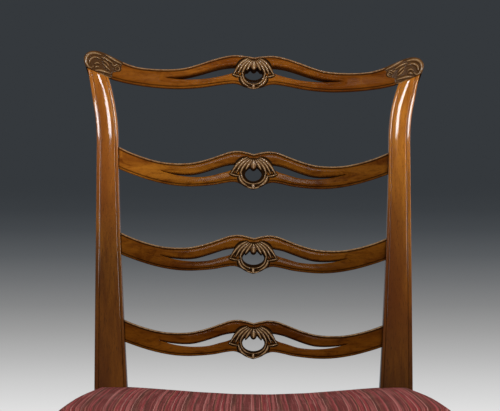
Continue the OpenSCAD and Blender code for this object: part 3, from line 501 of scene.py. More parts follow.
railShape = dict(cell=1.0, fine=0.55, fanReach=48.0, earFrom=198.0, bead=2.2, beadRise=0.8, line=3.1,
                 lineDepth=1.2, lineWidth=0.8, crown=0.6, crownFrom=2, crownTo=9, edgeRound=1.3, roundTo=1.4,
                 rearRound=3.0, rearRoundTo=4.5, endGap=0.4, underEarX=219.0, underEarZ=-3.4,
                 underEarSlope=0.51, underEarDepth=4.5)
carveShape = dict(rise=2.6, risesFrom=0.8, risesBy=0.25, tip=0.35, lean=0.8, foot=0.7, ground=1.2,
                  groundEdge=3, groundR=15.0, groundWide=1.2, groundFade=1.5, scallopsFrom=-4, crestFrom=0.45,
                  crestTo=0.9, hollowFrom=1.3, hollowTo=0.3)
# Painted shade in the rails' hollows, sunk line, shoulders and edges; pale crests and top bead, partly wear
# and partly painted highlight
railShading = dict(fanHollow=0.95, earHollow=0.52, earCrest=0.75, earSide=150, topBead=0.75, topWidth=0.9,
                  groove=0.85, shoulder=0.9, shoulderTo=2.6, paintedShade=0.8, paintedShadeTo=1.6)


def polygonDistance(px, pz, polygon):
    # Distance to the outline, negative inside it
    best = np.full(px.shape, 1e9)
    inside = np.zeros(px.shape, bool)
    nextOnes = np.roll(polygon, -1, axis=0)
    for (ax, az), (bx, bz) in zip(polygon, nextOnes):
        dx, dz = bx - ax, bz - az
        length = dx * dx + dz * dz
        if length < 1e-12:
            continue
        t = np.clip(((px - ax) * dx + (pz - az) * dz) / length, 0, 1)
        best = np.minimum(best, (px - ax - t * dx) ** 2 + (pz - az - t * dz) ** 2)
        crosses = (az > pz) != (bz > pz)
        if crosses.any():
            at = ax + (pz - az) * dx / (dz if dz else 1e-9)
            inside ^= crosses & (px < at)
    best = np.sqrt(best)
    return np.where(inside, -best, best)


def bothHalves(points, half):
    p = np.array(points) * (half, 1)
    return np.concatenate([p, p[-2:0:-1] * (-1, 1)])


# Petals of the carved fan over and under the eye: their paths from its middle, and their widths
fanHalf = (
    ([(2.8, 21.8), (7.6, 14.8), (11.8, 7.4)], 5.0),
    ([(5.4, 22.8), (12.4, 15.8), (17.6, 8.4), (20.4, 0.6)], 4.7),
    ([(8, 23.6), (16, 18), (22, 10.8), (27, 1.2)], 4.6),
    ([(10.2, 25.2), (18.8, 20.8), (25, 14.8), (29.8, 8.6), (34.6, 0.8)], 4.7),
    ([(37, -0.2), (32, -1.6), (27.4, -2.8), (23, -3.2)], 3.0),
    ([(22.2, -2.6), (20.8, -8.4), (16.2, -14.2), (9.6, -18.2)], 4.6),
    ([(19, 2), (18.6, -2.6), (16.4, -8), (11, -12.8), (5.2, -14.8), (0, -15.6)], 3.0),
    ([(9.4, -19.6), (4.6, -21.4), (0, -21.8)], 3.4),
)
fanMiddle = (
    ([(0, 21.4), (0, 15), (0, 10.2)], 5.4),
    ([(0, 17.6), (0, 13.6), (0, 9.2)], 9.4),
    ([(0, -15), (0, -18), (0, -22.6)], 5.6),
)
# The scrolled leaf on an ear of the crest rail: paths from the middle of the joint, and widths
earLeaf = (
    ([(235, 35.4), (244, 37.8), (252, 36.6), (257, 30.8), (257.2, 23.6), (254, 16.8), (249.6, 14.8),
      (245.6, 17)], 6.2),
    ([(252.4, 21.5), (251.2, 27), (247, 30.6), (241.6, 31.2), (236, 28.8)], 4.6),
    ([(244.6, 20.6), (240.8, 22.8), (235.8, 20.4)], 3.4),
    ([(243.4, 15.6), (240.4, 16.8), (237, 15.8)], 4.2),
    ([(234.2, 31.4), (229.3, 30.4), (223.1, 27), (217, 22.6)], 4.2),
    ([(231.5, 26.4), (226, 23), (222, 17.6)], 3.8),
    ([(230.4, 21.4), (226.5, 16.8), (220.6, 11.4)], 3.8),
    ([(228, 35.6), (221, 31.6), (213, 27), (203, 21.6)], 5.0),
    ([(217.4, 21.4), (214.4, 18.4), (211, 20.4), (206.6, 18.4)], 3.2),
    ([(212.8, 14.6), (210.4, 17.2), (206.6, 16), (206.2, 12.6), (209.6, 11), (212.6, 13)], 2.6),
    ([(243, 10.8), (235.4, 11), (228.4, 9), (219.6, 6.4)], 5.0),
    ([(240.4, 6.4), (234.2, 5), (228.6, 2.2), (219.4, 0)], 4.6),
    ([(255.4, 14.2), (250.4, 11.4), (244.6, 7.8)], 4.4),
)
earOutline = [(199, 27), (203, 21), (204.4, 12.6), (210, 9.4), (216.4, 8), (217.4, -5), (262, -5), (264, 46),
              (196, 46)]


def stroke(px, pz, path, width):
    # Nearness to a curved petal, 1 on its middle line and 0 at its edge, and how far along it
    p = carveShape
    path = smoothCurve(path, 3)
    steps = np.hypot(*np.diff(path, axis=0).T)
    ends = np.concatenate([[0], np.cumsum(steps)]) / steps.sum()
    best = np.full(px.shape, -9.0)
    where = np.zeros(px.shape)
    low, high = path.min(0) - width, path.max(0) + width
    close = (px > low[0]) & (px < high[0]) & (pz > low[1]) & (pz < high[1])
    x, z = px[close], pz[close]
    if not len(x):
        return best, where
    near, at = best[close], where[close]
    for i in range(len(path) - 1):
        a, b = path[i], path[i + 1]
        d = b - a
        t = np.clip(((x - a[0]) * d[0] + (z - a[1]) * d[1]) / (d @ d), 0, 1)
        along = mix(ends[i], ends[i + 1], t)
        reach = width / 2 * (p["tip"] + (1 - p["tip"]) * np.sin(math.pi * along ** p["lean"]))
        here = 1 - np.hypot(x - a[0] - t * d[0], z - a[1] - t * d[1]) / reach
        better = here > near
        near = np.where(better, here, near)
        at = np.where(better, along, at)
    best[close], where[close] = near, at
    return best, where


def fanPetals(eye, spread):
    for path, width in fanHalf:
        for s in (-1, 1):
            yield [(s * x * spread, z + eye) for x, z in path], width
    for path, width in fanMiddle:
        yield [(x, z + eye) for x, z in path], width


def carving(px, pz, eye, spread, ears):
    # Height of the carving over its ground, how far each point is carved, the painted shade of its hollows
    # and its crests
    p, shading = carveShape, railShading
    height, mask, crests = np.zeros((3, *px.shape))
    strokes = list(fanPetals(eye, spread))
    if ears:
        for s in (-1, 1):
            strokes += [([(s * x, z) for x, z in path], width) for path, width in earLeaf]
            mask = np.maximum(mask, ramp(0.8, -0.8, polygonDistance(px, pz, np.array(earOutline) * (s, 1))))
    for path, width in strokes:
        near, where = stroke(px, pz, path, width)
        swell = p["rise"] * np.sqrt(np.clip(near, 0, 1))
        height = np.maximum(height, swell * (p["risesFrom"] + p["risesBy"] * where))
        crests = np.maximum(crests, ramp(p["crestFrom"], p["crestTo"], near))
        mask = np.maximum(mask, ramp(-1.5, -0.8, near))
    fromEye = np.hypot(px / p["groundWide"], pz - eye)
    mask = np.maximum(mask, ramp(p["groundR"] + p["groundFade"], p["groundR"], fromEye))
    atEar = np.abs(px) > shading["earSide"]
    # Painted shade: the lower the carving, the darker it is drawn
    hollow = mask * ramp(p["hollowFrom"], p["hollowTo"], height)
    hollow *= np.where(atEar, shading["earHollow"], shading["fanHollow"])
    return height, mask, hollow, crests * np.where(atEar, shading["earCrest"], 1)


def railGrid(outline, ears):
    # Grid lines over a rail, closer where it is carved
    p = railShape
    step, near, far = p["cell"], p["fanReach"], p["earFrom"]
    wide = outline[:, 0].max() + 2 * step
    marks = [-wide, -far, -near, near, far, wide] if ears else [-wide, -near, near, wide]
    steps = [p["fine"], step] * 3 if ears else [step, p["fine"], step]
    gx = np.concatenate([np.arange(*band) for band in zip(marks[:-1], marks[1:], steps)])
    return gx, np.arange(outline[:, 1].min() - 2 * step, outline[:, 1].max() + 2 * step, p["fine"])


def railHoles(px, pz, slot, half, eye, spread, eyeSize):
    # Negative inside the two slots and the eye, whose upper edge the petals' tips scallop
    p = carveShape
    hole = smoothCurve(slot, 5, True)
    slots = np.minimum(polygonDistance(px, pz, hole * (half, 1)), polygonDistance(px, pz, hole * (-half, 1)))
    tips = np.full(px.shape, -1.0)
    for path, width in fanPetals(eye, spread):
        tips = np.maximum(tips, stroke(px, pz, path, width)[0] * width / 2 + p["foot"])
    halfW, halfH, lift = eyeSize
    eyeHole = (np.hypot(px / halfW, (pz - eye - lift) / halfH) - 1) * halfH
    eyeHole = np.maximum(eyeHole, np.where(pz > eye + p["scallopsFrom"], tips, -9))
    return np.minimum(np.maximum(slots, tips), eyeHole)


def pastPosts(px, gz, z0):
    # Positive where a slat has gone into the posts
    stations = np.linspace(z0 - 60, z0 + 45, 9)
    return np.abs(px) - np.interp(z0 + gz, stations, postInner(stations))[None, :] - railShape["endGap"]


def railRelief(edge, outerD, slotD, height, mask):
    # Bead, sunk line and soft crown of the plain parts, and the sunk ground of the carved ones
    p, carve = railShape, carveShape
    bead = p["beadRise"] * np.sqrt(np.clip(1 - ((edge - p["bead"] / 2) / (p["bead"] / 2)) ** 2, 0, 1))
    line = -p["lineDepth"] * np.exp(-((outerD - p["line"]) / p["lineWidth"]) ** 2)
    worn = -p["edgeRound"] * ramp(p["roundTo"], 0, edge)
    plain = bead * (outerD < slotD) + line + p["crown"] * ramp(p["crownFrom"], p["crownTo"], edge) + worn
    carved = height + worn * 0.5 - carve["ground"] * mask * ramp(0, carve["groundEdge"], edge)
    return mix(plain, carved, np.clip(mask, 0, 1))


def fallen(points, z0):
    # The rail turned by its fall and raised to its height
    fall = math.radians(c["railFall"])
    x, y, z = points.T
    return np.column_stack([x * math.cos(fall) + z * math.sin(fall), y,
                            z * math.cos(fall) - x * math.sin(fall) + z0])


def buildRail(name, z0, top, bottom, slot, half, setBack, thick, eye, spread, eyeSize, flank, span=0,
              ears=False):
    span = span or float(postInner(z0))
    p, shading = railShape, railShading
    outline = bothHalves(np.concatenate([smoothCurve(top, 6), smoothCurve(bottom, 6)]), half)
    gx, gz = railGrid(outline, ears)
    px, pz = np.meshgrid(gx, gz, indexing="ij")
    outer = polygonDistance(px, pz, outline)
    ends = np.full(px.shape, -99.0) if ears else pastPosts(px, gz, z0)
    holes = railHoles(px, pz, slot, half, eye, spread, eyeSize)
    d = np.maximum(np.maximum(outer, ends), -holes)
    d = np.where(d < 0, np.minimum(d, -0.08), np.maximum(d, 0.08))  # no slivers beside a grid point
    points, faces, borders = marchingSquares(px, pz, d)
    x, z = points.T
    outerD = -sample(outer, gx, gz, x, z)
    slotD = sample(holes, gx, gz, x, z)
    edge = np.maximum(np.minimum(outerD, slotD), 0)
    height, mask, hollow, crests = carving(x, z, eye, spread, ears)
    # Painted shade on the petals' flanks, between their crests
    hollow = np.maximum(hollow, flank * mask * (1 - crests))
    relief = railRelief(edge, outerD, slotD, height, mask)
    if ears:
        joint = p["underEarZ"] + (np.abs(x) - p["underEarX"]) * p["underEarSlope"]
        under = ramp(0.5, -0.5, z - joint) * ramp(p["underEarX"] - 1, p["underEarX"] + 1, np.abs(x))
        relief = mix(relief, -p["underEarDepth"], under)
        # Painted shade in the sunk joint under the ear
        hollow = np.maximum(hollow, under)
    slope = slopeAt(z0)
    radius = (span ** 2 + c["bow"] ** 2) / (2 * c["bow"])
    bowed = np.sqrt(np.maximum(radius ** 2 - x ** 2, 0)) - radius + c["bow"]
    front = float(postFront(z0)) + z * math.tan(slope) + (setBack + bowed) / math.cos(slope)
    back = front + (thick - p["rearRound"] * ramp(p["rearRoundTo"], 0, edge)) / math.cos(slope)
    share = np.clip(outerD, 0, None) / (np.clip(outerD, 0, None) + np.clip(slotD, 0, None) + 1e-6)
    drop = thick * math.sin(slope) * share
    n = len(x)
    allPoints = np.concatenate([np.column_stack([x, front - relief, z]),
                                np.column_stack([x, back, z - drop])])
    allFaces = faces + [[v + n for v in f[::-1]] for f in faces]
    allFaces += [(b, a, a + n, b + n) for a, b in borders]
    obj = meshObject(name, fallen(allPoints, z0), allFaces, mahoganyCrest if ears else mahoganyAcross)
    # The back stays plain, apart from painted shade at its edges and by the posts
    plain = np.zeros(n)
    upward = ramp(0, 0.6, outerD + sample(outer, gx, gz, x, z + 0.8))
    onTop = np.exp(-((outerD - shading["topWidth"]) / shading["topWidth"]) ** 2)
    # Painted highlight along the top bead, where it faces the light
    topBead = shading["topBead"] * upward * onTop * (1 - mask)
    # Painted shade in the sunk line
    groove = np.exp(-((outerD - p["line"]) / p["lineWidth"]) ** 2) * (1 - mask) * shading["groove"]
    # Painted shadow where the rail meets the posts
    shoulder = ramp(shading["shoulderTo"], 0.3, -sample(ends, gx, gz, x, z)) * shading["shoulder"]
    # Painted shade along the edges
    paintedShade = shading["paintedShade"] * ramp(shading["paintedShadeTo"], 0, edge)
    attribute(obj, "carved", np.concatenate([mask, plain]))
    # Pale crests, partly wear and partly painted highlight, and the painted highlight of the top bead
    attribute(obj, "crest", np.concatenate([crests * mask + topBead, plain]))
    attribute(obj, "hollow", np.concatenate([np.maximum(np.maximum(hollow, groove), shoulder),
                                             np.maximum(paintedShade, shoulder)]))
    return obj


def sample(grid, gx, gz, x, z):
    # The grid's values at points between its lines
    fx = np.interp(x, gx, np.arange(len(gx))).clip(0, len(gx) - 1.001)
    fz = np.interp(z, gz, np.arange(len(gz))).clip(0, len(gz) - 1.001)
    i, j = fx.astype(int), fz.astype(int)
    a, b = fx - i, fz - j
    return ((grid[i, j] * (1 - a) + grid[i + 1, j] * a) * (1 - b)
            + (grid[i, j + 1] * (1 - a) + grid[i + 1, j + 1] * a) * b)


def marchingSquares(px, pz, d):
    # Faces of the part of the grid where d is negative, with its border points on the line d = 0
    inside = d < 0
    number = {}
    points, faces, borders = [], [], []

    def corner(i, j):
        key = (i, j)
        if key not in number:
            number[key] = len(points)
            points.append((px[i, j], pz[i, j]))
        return number[key]

    def cut(a, b):
        key = (min(a, b), max(a, b))
        if key not in number:
            da, db = d[key[0]], d[key[1]]
            t = da / (da - db)
            number[key] = len(points)
            points.append((mix(px[key[0]], px[key[1]], t), mix(pz[key[0]], pz[key[1]], t)))
        return number[key]

    some = (inside[:-1, :-1] | inside[1:, :-1] | inside[:-1, 1:] | inside[1:, 1:])
    for i, j in zip(*np.nonzero(some)):
        ring = [(i, j), (i + 1, j), (i + 1, j + 1), (i, j + 1)]
        marks = [inside[k] for k in ring]
        if all(marks):
            faces.append([corner(*k) for k in ring])
            continue
        face, cuts = [], []
        for k in range(4):
            a, b = ring[k], ring[(k + 1) % 4]
            if marks[k]:
                face.append(corner(*a))
            if marks[k] != marks[(k + 1) % 4]:
                v = cut(a, b)
                face.append(v)
                cuts.append((v, marks[k]))
        if len(cuts) == 4:
            first = next(k for k, v in enumerate(face) if (v, False) in cuts)
            face = face[first:] + face[:first]
            split = next(k for k, v in enumerate(face) if (v, True) in cuts) + 1
            for part in (face[:split], face[split:]):
                faces.append(part)
                borders.append((part[-1], part[0]))
            continue
        faces.append(face)
        leave = next(v for v, m in cuts if m)
        enter = next(v for v, m in cuts if not m)
        borders.append((leave, enter))
    return np.array(points), faces, borders


say("rails")
slatShape = dict(top=slatTop, bottom=slatBottom, slot=slatSlot, half=backHalf, setBack=c["slatSet"],
                 thick=c["slatT"], eye=-13.7)
# flank sets the painted shade on each rail's carved petals' flanks
rails = {
    "crest_rail": dict(z0=c["crestJoint"], top=crestTop, bottom=crestBottom, slot=crestSlot,
                       half=backHalf + c["flare"] + 6, setBack=0.0, thick=c["crestT"], eye=10.6, spread=0.88,
                       eyeSize=(14.2, 10, 1.4), flank=0.1, span=238.75, ears=True),
    "upper_slat": dict(slatShape, z0=786.0, spread=0.97, eyeSize=(12.8, 11.6, 0.5), flank=0.1),
    "middle_slat": dict(slatShape, z0=657.0, spread=1.0, eyeSize=(16.6, 11.3, 1.5), flank=0.5),
    "lower_slat": dict(slatShape, z0=528.0, spread=1.0, eyeSize=(16.8, 12.6, 1.2), flank=0.6),
}
# Painted shade along each rail, from left to right: darker where less light falls
shadeAlong = (-180, -120, -70, 0, 40, 120)
railShades = {
    "crest_rail": (0.16, 0.12, 0.1, 0.07, 0.1, 0.27),
    "upper_slat": (0.14, 0.5, 0.54, 0.6, 0.64, 0.68),
    "middle_slat": (0.33, 0.32, 0.37, 0.42, 0.46, 0.48),
    "lower_slat": (0.03, 0.0, 0.0, 0.06, 0.12, 0.22),
}
for node, shape in rails.items():
    rail = buildRail("carved_" + node, **shape)
    places = [v.co.x * 1000 for v in rail.data.vertices]
    attribute(rail, "tone", np.interp(places, shadeAlong, railShades[node]))
    keep(rail, "mahogany", node)
    print(node, len(rail.data.polygons), "faces")

seatShape = dict(step=7.0, bends=13, roundSteps=8, topSteps=18, topCurve=0.9, middleGap=4.0, spread=0.05,
                 frontFrom=-200.0)
# How firmly the stuffing pushes the cover out, where the cover is held, and how much of its rise is kept
restShape = dict(pressure=4.0, tension=25.0, bending=2.0, quality=5, frames=20, pinEvery=9, postGap=12.0,
                 most=3.0)


def sideAt(y):
    return mix(backHalf + stack, seatHalf, -y / c["seatD"])


coverBack = c["rearRailY"] + c["railT"] + stack
seatMidY = (coverBack - c["seatD"]) / 2
seatHalfD = (coverBack + c["seatD"]) / 2
# Front, back and outer side of the front legs, inside the cloth
legFront = -c["seatD"] + stack
legBack = legFront + c["legW"]
legOut = sideAt(legBack) - stack


def seatOutline():
    # Anticlockwise from the middle of the front, with closer points round the front corners
    r = c["cornerR"]
    cx = sideAt(-c["seatD"] + r) - r
    arc = [(cx + r * math.cos(a), -c["seatD"] + r + r * math.sin(a))
           for a in np.linspace(-math.pi / 2, 0, seatShape["bends"])]
    right = [(0, -c["seatD"])] + arc + [(sideAt(coverBack), coverBack), (0, coverBack)]
    half = []
    for a, b in zip(right[:-1], right[1:]):
        count = math.ceil(math.dist(a, b) / seatShape["step"])
        half += [(mix(a[0], b[0], k / count), mix(a[1], b[1], k / count)) for k in range(count)]
    half = np.array(half + [right[-1]])
    return np.concatenate([half, half[-2:0:-1] * (-1, 1)])


def crownAt(x, y):
    # Height of the seat's top: hollow across, falling to the front, with a dip a little right of the middle
    out = x / seatHalf
    fall = c["fall"] * (np.maximum(0, -y) / c["seatD"]) ** c["fallCurve"] * (1 - c["sideHold"] * out ** 4)
    sag = c["midSag"] * (1 - np.clip(out - c["sagAt"], -1, 1) ** 2) ** 3
    return c["seatH"] - sag + c["dish"] * (out ** 2 - c["sideDrop"] * out ** 6) - fall


def insetOutline(outline, inset):
    return np.column_stack([outline[:, 0] * (seatHalf - inset) / seatHalf,
                            seatMidY + (outline[:, 1] - seatMidY) * (seatHalfD - inset) / seatHalfD])


def swollen(q):
    # The stuffing stands out over the rails towards the front
    x, y = q.T
    swell = np.where(x > 0, c["swellRight"], -c["swellLeft"])
    return np.column_stack([x + swell * (x / seatHalf) ** 4 * ramp(0, -c["swellRun"], y), y])


def seatRings(outline, below):
    # Rings of a layer some way below the seat's surface, round its edge and in to the middle
    rings = []
    for angle in np.linspace(0, math.pi / 2, seatShape["roundSteps"]):
        r = c["edgeR"] - below
        q = insetOutline(outline, c["edgeR"] - r * math.cos(angle))
        z = crownAt(q[:, 0], q[:, 1]) - c["edgeR"] + r * math.sin(angle)
        rings.append(np.column_stack([swollen(q), z]))
    for t in np.linspace(0, 1, seatShape["topSteps"] + 1)[1:]:
        middle = seatHalfD - seatShape["middleGap"]
        q = insetOutline(outline, mix(c["edgeR"], middle, t ** seatShape["topCurve"]))
        rings.append(np.column_stack([swollen(q), crownAt(q[:, 0], q[:, 1]) - below]))
    return rings


beyond, overAll, underAll = 900, 1200, -50  # past every piece of the chair


def boxPair(inner, front, back, low, high):
    # A box on each side of the chair, from its inner face outward
    return [((inner, front, low), (beyond, back, high)), ((-beyond, front, low), (-inner, back, high))]


def postBoxes(gap):
    return boxPair(backHalf - c["postW"] - gap, -gap, beyond, 0, overAll)


def legBoxes(gap):
    return boxPair(legOut - c["legW"] - gap, -beyond, legBack + gap, underAll, c["railLow"])


# Stripes from left to right of one repeat: widths in millimetres and threads
threads = dict(burgundy=srgb(124, 58, 55), rose=srgb(166, 90, 86), brown=srgb(104, 58, 50),
               crimson=srgb(150, 60, 62), pale=srgb(188, 130, 120), ochre=srgb(172, 110, 88),
               ochreDark=srgb(132, 80, 66))
stripes = [(5.0, "burgundy"), (1.0, "pale"), (3.6, "rose"), (2.2, "brown"), (4.2, "burgundy"), (1.1, "rose"),
           (2.4, "brown"), (0.9, "ochre"), (4.6, "crimson"), (2.6, "burgundy"), (1.0, "pale"),
           (3.4, "crimson"), (1.6, "brown"), (4.0, "rose"), (3.0, "burgundy"), (0.9, "pale"), (4.2, "brown"),
           (1.8, "ochreDark"), (4.6, "burgundy"), (2.2, "crimson"), (1.0, "rose"), (3.2, "brown"),
           (4.7, "burgundy")]
fabricShape = dict(repeat=0.0632, start=20.13, wobble=0.0016, warp=0.0011, weft=0.0009)


def stripedFabric():
    s = newShade("stripedFabric")
    p = fabricShape
    across, along = s.own("across"), s.own("along")

    def worn(wide, long, *rest):
        return s.noise((across * wide, along * long, 0.0), *rest)

    total = sum(width for width, _ in stripes)
    stops, edge = [], 0.0
    for width, thread in stripes:
        stops.append((edge / total, threads[thread]))
        edge += width
    at = ((across + worn(30.0, 22.0, 2.0) * p["wobble"]) / p["repeat"] + p["start"]).fract()
    colour = s.wire("ShaderNodeValToRGB", {"stops": ("CONSTANT", stops)}, {0: at})
    streak = worn(430.0, 4.0, 2.0, 0.6)
    fleck = worn(900.0, 320.0, 2.0, 0.6)
    faded = worn(14.0, 11.0, 3.0, 0.55)
    colour = s.blend(streak.between(0.52, 0.58) * 0.5, colour, srgb(94, 50, 44))
    colour = s.blend((1 - streak.between(0.41, 0.45)) * 0.42, colour, srgb(182, 104, 100))
    colour = s.blend(fleck.between(0.42, 0.72) * 0.35, colour, srgb(70, 42, 38))
    colour = s.blend(faded.between(0.5, 0.8) * 0.18, colour, srgb(176, 132, 122))
    warp = across.waves(p["warp"]) * 0.5 + 0.5
    weft = along.waves(p["weft"]) * 0.5 + 0.5
    return s.finish(colour=colour, rough=0.9 + 0.1 * fleck, specular=0.08,
                    normal=s.bump(warp * 0.5 + weft * 0.3 + fleck, 0.5, 0.0006))


def clothMaterial(name, light, dark, pitch, rough=0.9):
    s = newShade(name)
    x, y, z = s.place()
    weave = x.waves(pitch) * y.waves(pitch) * 0.5 + 0.5
    slub = s.noise((x * 260.0, y * 260.0, z * 260.0), 3.0, 0.6)
    return s.finish(colour=s.blend(weave * 0.6 + slub * 0.4, dark, light), rough=rough, specular=0.2,
                    normal=s.bump(weave + slub, 0.6, 0.0005))


def steelMaterial():
    s = newShade("tackSteel")
    x, y, z = s.place()
    rust = s.noise((x * 300.0, y * 300.0, z * 300.0), 3.0)
    return s.finish(colour=s.blend(rust.between(0.5, 0.8) * 0.5, srgb(120, 122, 126), srgb(96, 64, 44)),
                    rough=0.35 + 0.2 * rust, metal=0.9, specular=0.5)


say("seat")
fabric = stripedFabric()
linen = clothMaterial("linenCloth", srgb(222, 210, 184), srgb(184, 168, 138), 0.0012)
jute = clothMaterial("juteCloth", srgb(178, 148, 100), srgb(120, 92, 54), 0.0030)
cambric = clothMaterial("blackCambric", srgb(74, 74, 76), srgb(40, 40, 42), 0.0012)
filling = clothMaterial("stuffingCloth", srgb(214, 198, 166), srgb(176, 156, 120), 0.0022)
steel = steelMaterial()

outline = seatOutline()
padLow = c["railTop"] + 2 * c["webT"] + c["webGap"] + c["hessianT"]


def levelRing(inset, z):
    points = insetOutline(outline, inset)
    return np.column_stack([points, np.full(len(points), z)])


def restedSeat():
    # How far the stuffing pushes the cloth out between its fixed edges, as moves of the rings' points
    rings = seatRings(outline, 0.0)
    still = np.zeros((len(rings), len(outline), 3))
    p, size = restShape, len(outline)
    n = len(rings) * size
    points = np.concatenate(rings + [np.array([(0, seatMidY, float(crownAt(0, seatMidY)))])])
    faces = ringFaces(len(rings), size) + [(n, n - size + i, n - size + (i + 1) % size) for i in range(size)]
    trial = meshObject("trialCloth", points, faces, fabric)
    fixed = trial.vertex_groups.new(name="fixed")
    nearPost = np.abs(outline[:, 0]) > backHalf - c["postW"] - p["postGap"]
    nearPost &= outline[:, 1] > -p["postGap"]
    for k in range(len(rings)):
        for i in range(size):
            if k == 0 or (k < seatShape["roundSteps"] - 2 and i % p["pinEvery"] == 0) or nearPost[i]:
                fixed.add([k * size + i], 1.0, "REPLACE")
    settings = trial.modifiers.new("rest", "CLOTH").settings
    settings.vertex_group_mass = "fixed"
    settings.effector_weights.gravity = 0
    settings.use_pressure = True
    settings.uniform_pressure_force = p["pressure"]
    settings.tension_stiffness = settings.compression_stiffness = p["tension"]
    settings.bending_stiffness = p["bending"]
    settings.quality = p["quality"]
    scene = bpy.context.scene
    for step in range(1, p["frames"] + 1):
        scene.frame_set(step)
    done = trial.evaluated_get(bpy.context.evaluated_depsgraph_get()).data
    at = np.empty(len(done.vertices) * 3, np.float32)
    done.vertices.foreach_get("co", at)
    scene.frame_set(1)
    at = at.reshape(-1, 3)[:n].astype(float) / mm - (0, c["shift"], 0)
    moves = at.reshape(still.shape) - np.array(rings)
    bpy.data.objects.remove(trial)
    most = float(np.linalg.norm(moves, axis=2).max())
    print("the cloth rose by", round(most, 2), "mm and keeps", p["most"])
    moves *= np.minimum(1, p["most"] / max(most, 1e-6))
    for _ in range(2):
        moves = (2 * moves + np.roll(moves, 1, axis=1) + np.roll(moves, -1, axis=1)) / 4
    return np.round(moves, 3)


rested = restedSeat()


def upholstered(below):
    return [ring + move for ring, move in zip(seatRings(outline, below), rested)]


def crownPoint(below):
    return tuple(np.array((0, seatMidY, float(crownAt(0, seatMidY)) - below)) + rested[-1].mean(0))


points, faces = closedBody([levelRing(stack, padLow)] + upholstered(stack), (0, seatMidY, padLow),
                           crownPoint(stack))
pad = meshObject("stuffed_pad", points, faces, filling)
cutAround(pad, postBoxes(stack))
keep(pad, "stuffing", "stuffing_pad")


def clothBody(name, below, thick, lowRings, material):
    # Cloth over the pad: its inner face down to the lower rings, and its outer face back up
    rings = upholstered(below + thick)[::-1] + lowRings + upholstered(below)
    points, faces = closedBody(rings, crownPoint(below + thick), crownPoint(below))
    return meshObject(name, points, faces, material)


coverShape = dict(hemUp=14.0, turnedUnder=20.0)
below = c["coverT"] + c["layerGap"]
hem = c["railTop"] - coverShape["hemUp"]
under = clothBody("calico_undercover", below, c["undercoverT"],
                  [levelRing(below + c["undercoverT"], hem), levelRing(below, hem)], linen)
cutAround(under, postBoxes(2 * c["layerGap"] + c["coverT"]))
keep(under, "linen", "linen_undercover")

coverLow = c["railLow"] - c["coverT"]
cover = clothBody("striped_cover", 0.0, c["coverT"],
                  [levelRing(c["coverT"], c["railLow"]), levelRing(coverShape["turnedUnder"], c["railLow"]),
                   levelRing(coverShape["turnedUnder"], coverLow), levelRing(0, coverLow)], fabric)
cutAround(cover, postBoxes(c["layerGap"]) + legBoxes(c["layerGap"]))
keep(cover, "striped_fabric", "seat_cover")


def weaveCoordinates(obj):
    # How far across and along the cloth each point lies, measured over the edges of the seat
    at = np.empty(len(obj.data.vertices) * 3, np.float32)
    obj.data.vertices.foreach_get("co", at)
    x, y, z = (at.reshape(-1, 3) * 1000).T
    y = y - c["shift"]
    drop = np.maximum(0, crownAt(x, y) - z)
    fromSide, fromFront = sideAt(y) - np.abs(x), y + c["seatD"]
    onSide = (fromSide < c["edgeR"]) & (fromSide < fromFront)
    splayed = x * (1 - seatShape["spread"] * np.clip(-y / c["seatD"], 0, 1))
    along = y - np.where(onSide, 0, 1) * np.where(y < seatShape["frontFrom"], drop, -drop)
    attribute(obj, "across", (splayed + np.sign(x) * np.where(onSide, drop, 0)) * mm)
    attribute(obj, "along", along * mm)


weaveCoordinates(cover)


class Growth(Nodes):
    # A Geometry Nodes tree with named inputs, whose result becomes a piece's plain mesh
    def __init__(self, name):
        self.tree = bpy.data.node_groups.new(name, "GeometryNodeTree")
        for way in ("INPUT", "OUTPUT"):
            self.tree.interface.new_socket("Geometry", in_out=way, socket_type="NodeSocketGeometry")
        self.given = self.node("NodeGroupInput")
        self.values = {}

    def size(self, name, value):
        kind = "NodeSocketInt" if isinstance(value, int) else "NodeSocketFloat"
        socket = self.tree.interface.new_socket(name, in_out="INPUT", socket_type=kind)
        self.values[socket.identifier] = value
        return Wire(self, self.given.outputs[name])

    def lengths(self, shape, **names):
        return [self.size(name, shape[key] * mm) for key, name in names.items()]

    def seeds(self):
        return Wire(self, self.given.outputs["Geometry"])

    def cone(self, sides, low, high, height):
        return self.wire("GeometryNodeMeshCone", None, {"Vertices": sides, "Radius Bottom": low,
                                                        "Radius Top": high, "Depth": height})

    def joined(self, *shapes):
        made = self.node("GeometryNodeJoinGeometry")
        for shape in shapes:
            self.tree.links.new(shape.socket, made.inputs[0])
        return Wire(self, made.outputs[0])

    def raised(self, shape, height):
        up = self.wire("ShaderNodeCombineXYZ", None, {"Z": height})
        return self.wire("GeometryNodeTransform", None, {"Geometry": shape, "Translation": up})

    def standing(self, shape, spin=None):
        # The shape on every given point, its Z axis along the point's aim
        aim = self.wire("GeometryNodeInputNamedAttribute", {"data_type": "FLOAT_VECTOR"}, {"Name": "aim"})
        turn = self.wire("FunctionNodeAlignRotationToVector", {"axis": "Z"}, {"Vector": aim})
        if spin is not None:
            angle = self.wire("ShaderNodeCombineXYZ", None, {"Z": spin})
            local = self.wire("FunctionNodeEulerToRotation", None, {0: angle})
            turn = self.wire("FunctionNodeRotateRotation", {"rotation_space": "LOCAL"}, {0: turn, 1: local})
        return self.wire("GeometryNodeInstanceOnPoints", None,
                         {"Points": self.seeds(), "Instance": shape, "Rotation": turn})

    def grow(self, obj, shape, material):
        real = self.wire("GeometryNodeRealizeInstances", None, {0: shape})
        painted = self.wire("GeometryNodeSetMaterial", None, {"Geometry": real, "Material": material})
        self.node("NodeGroupOutput", None, {0: painted})
        modifier = obj.modifiers.new("grow", "NODES")
        modifier.node_group = self.tree
        for key, value in self.values.items():
            modifier[key] = value
        settle(obj)
        return eased(obj)


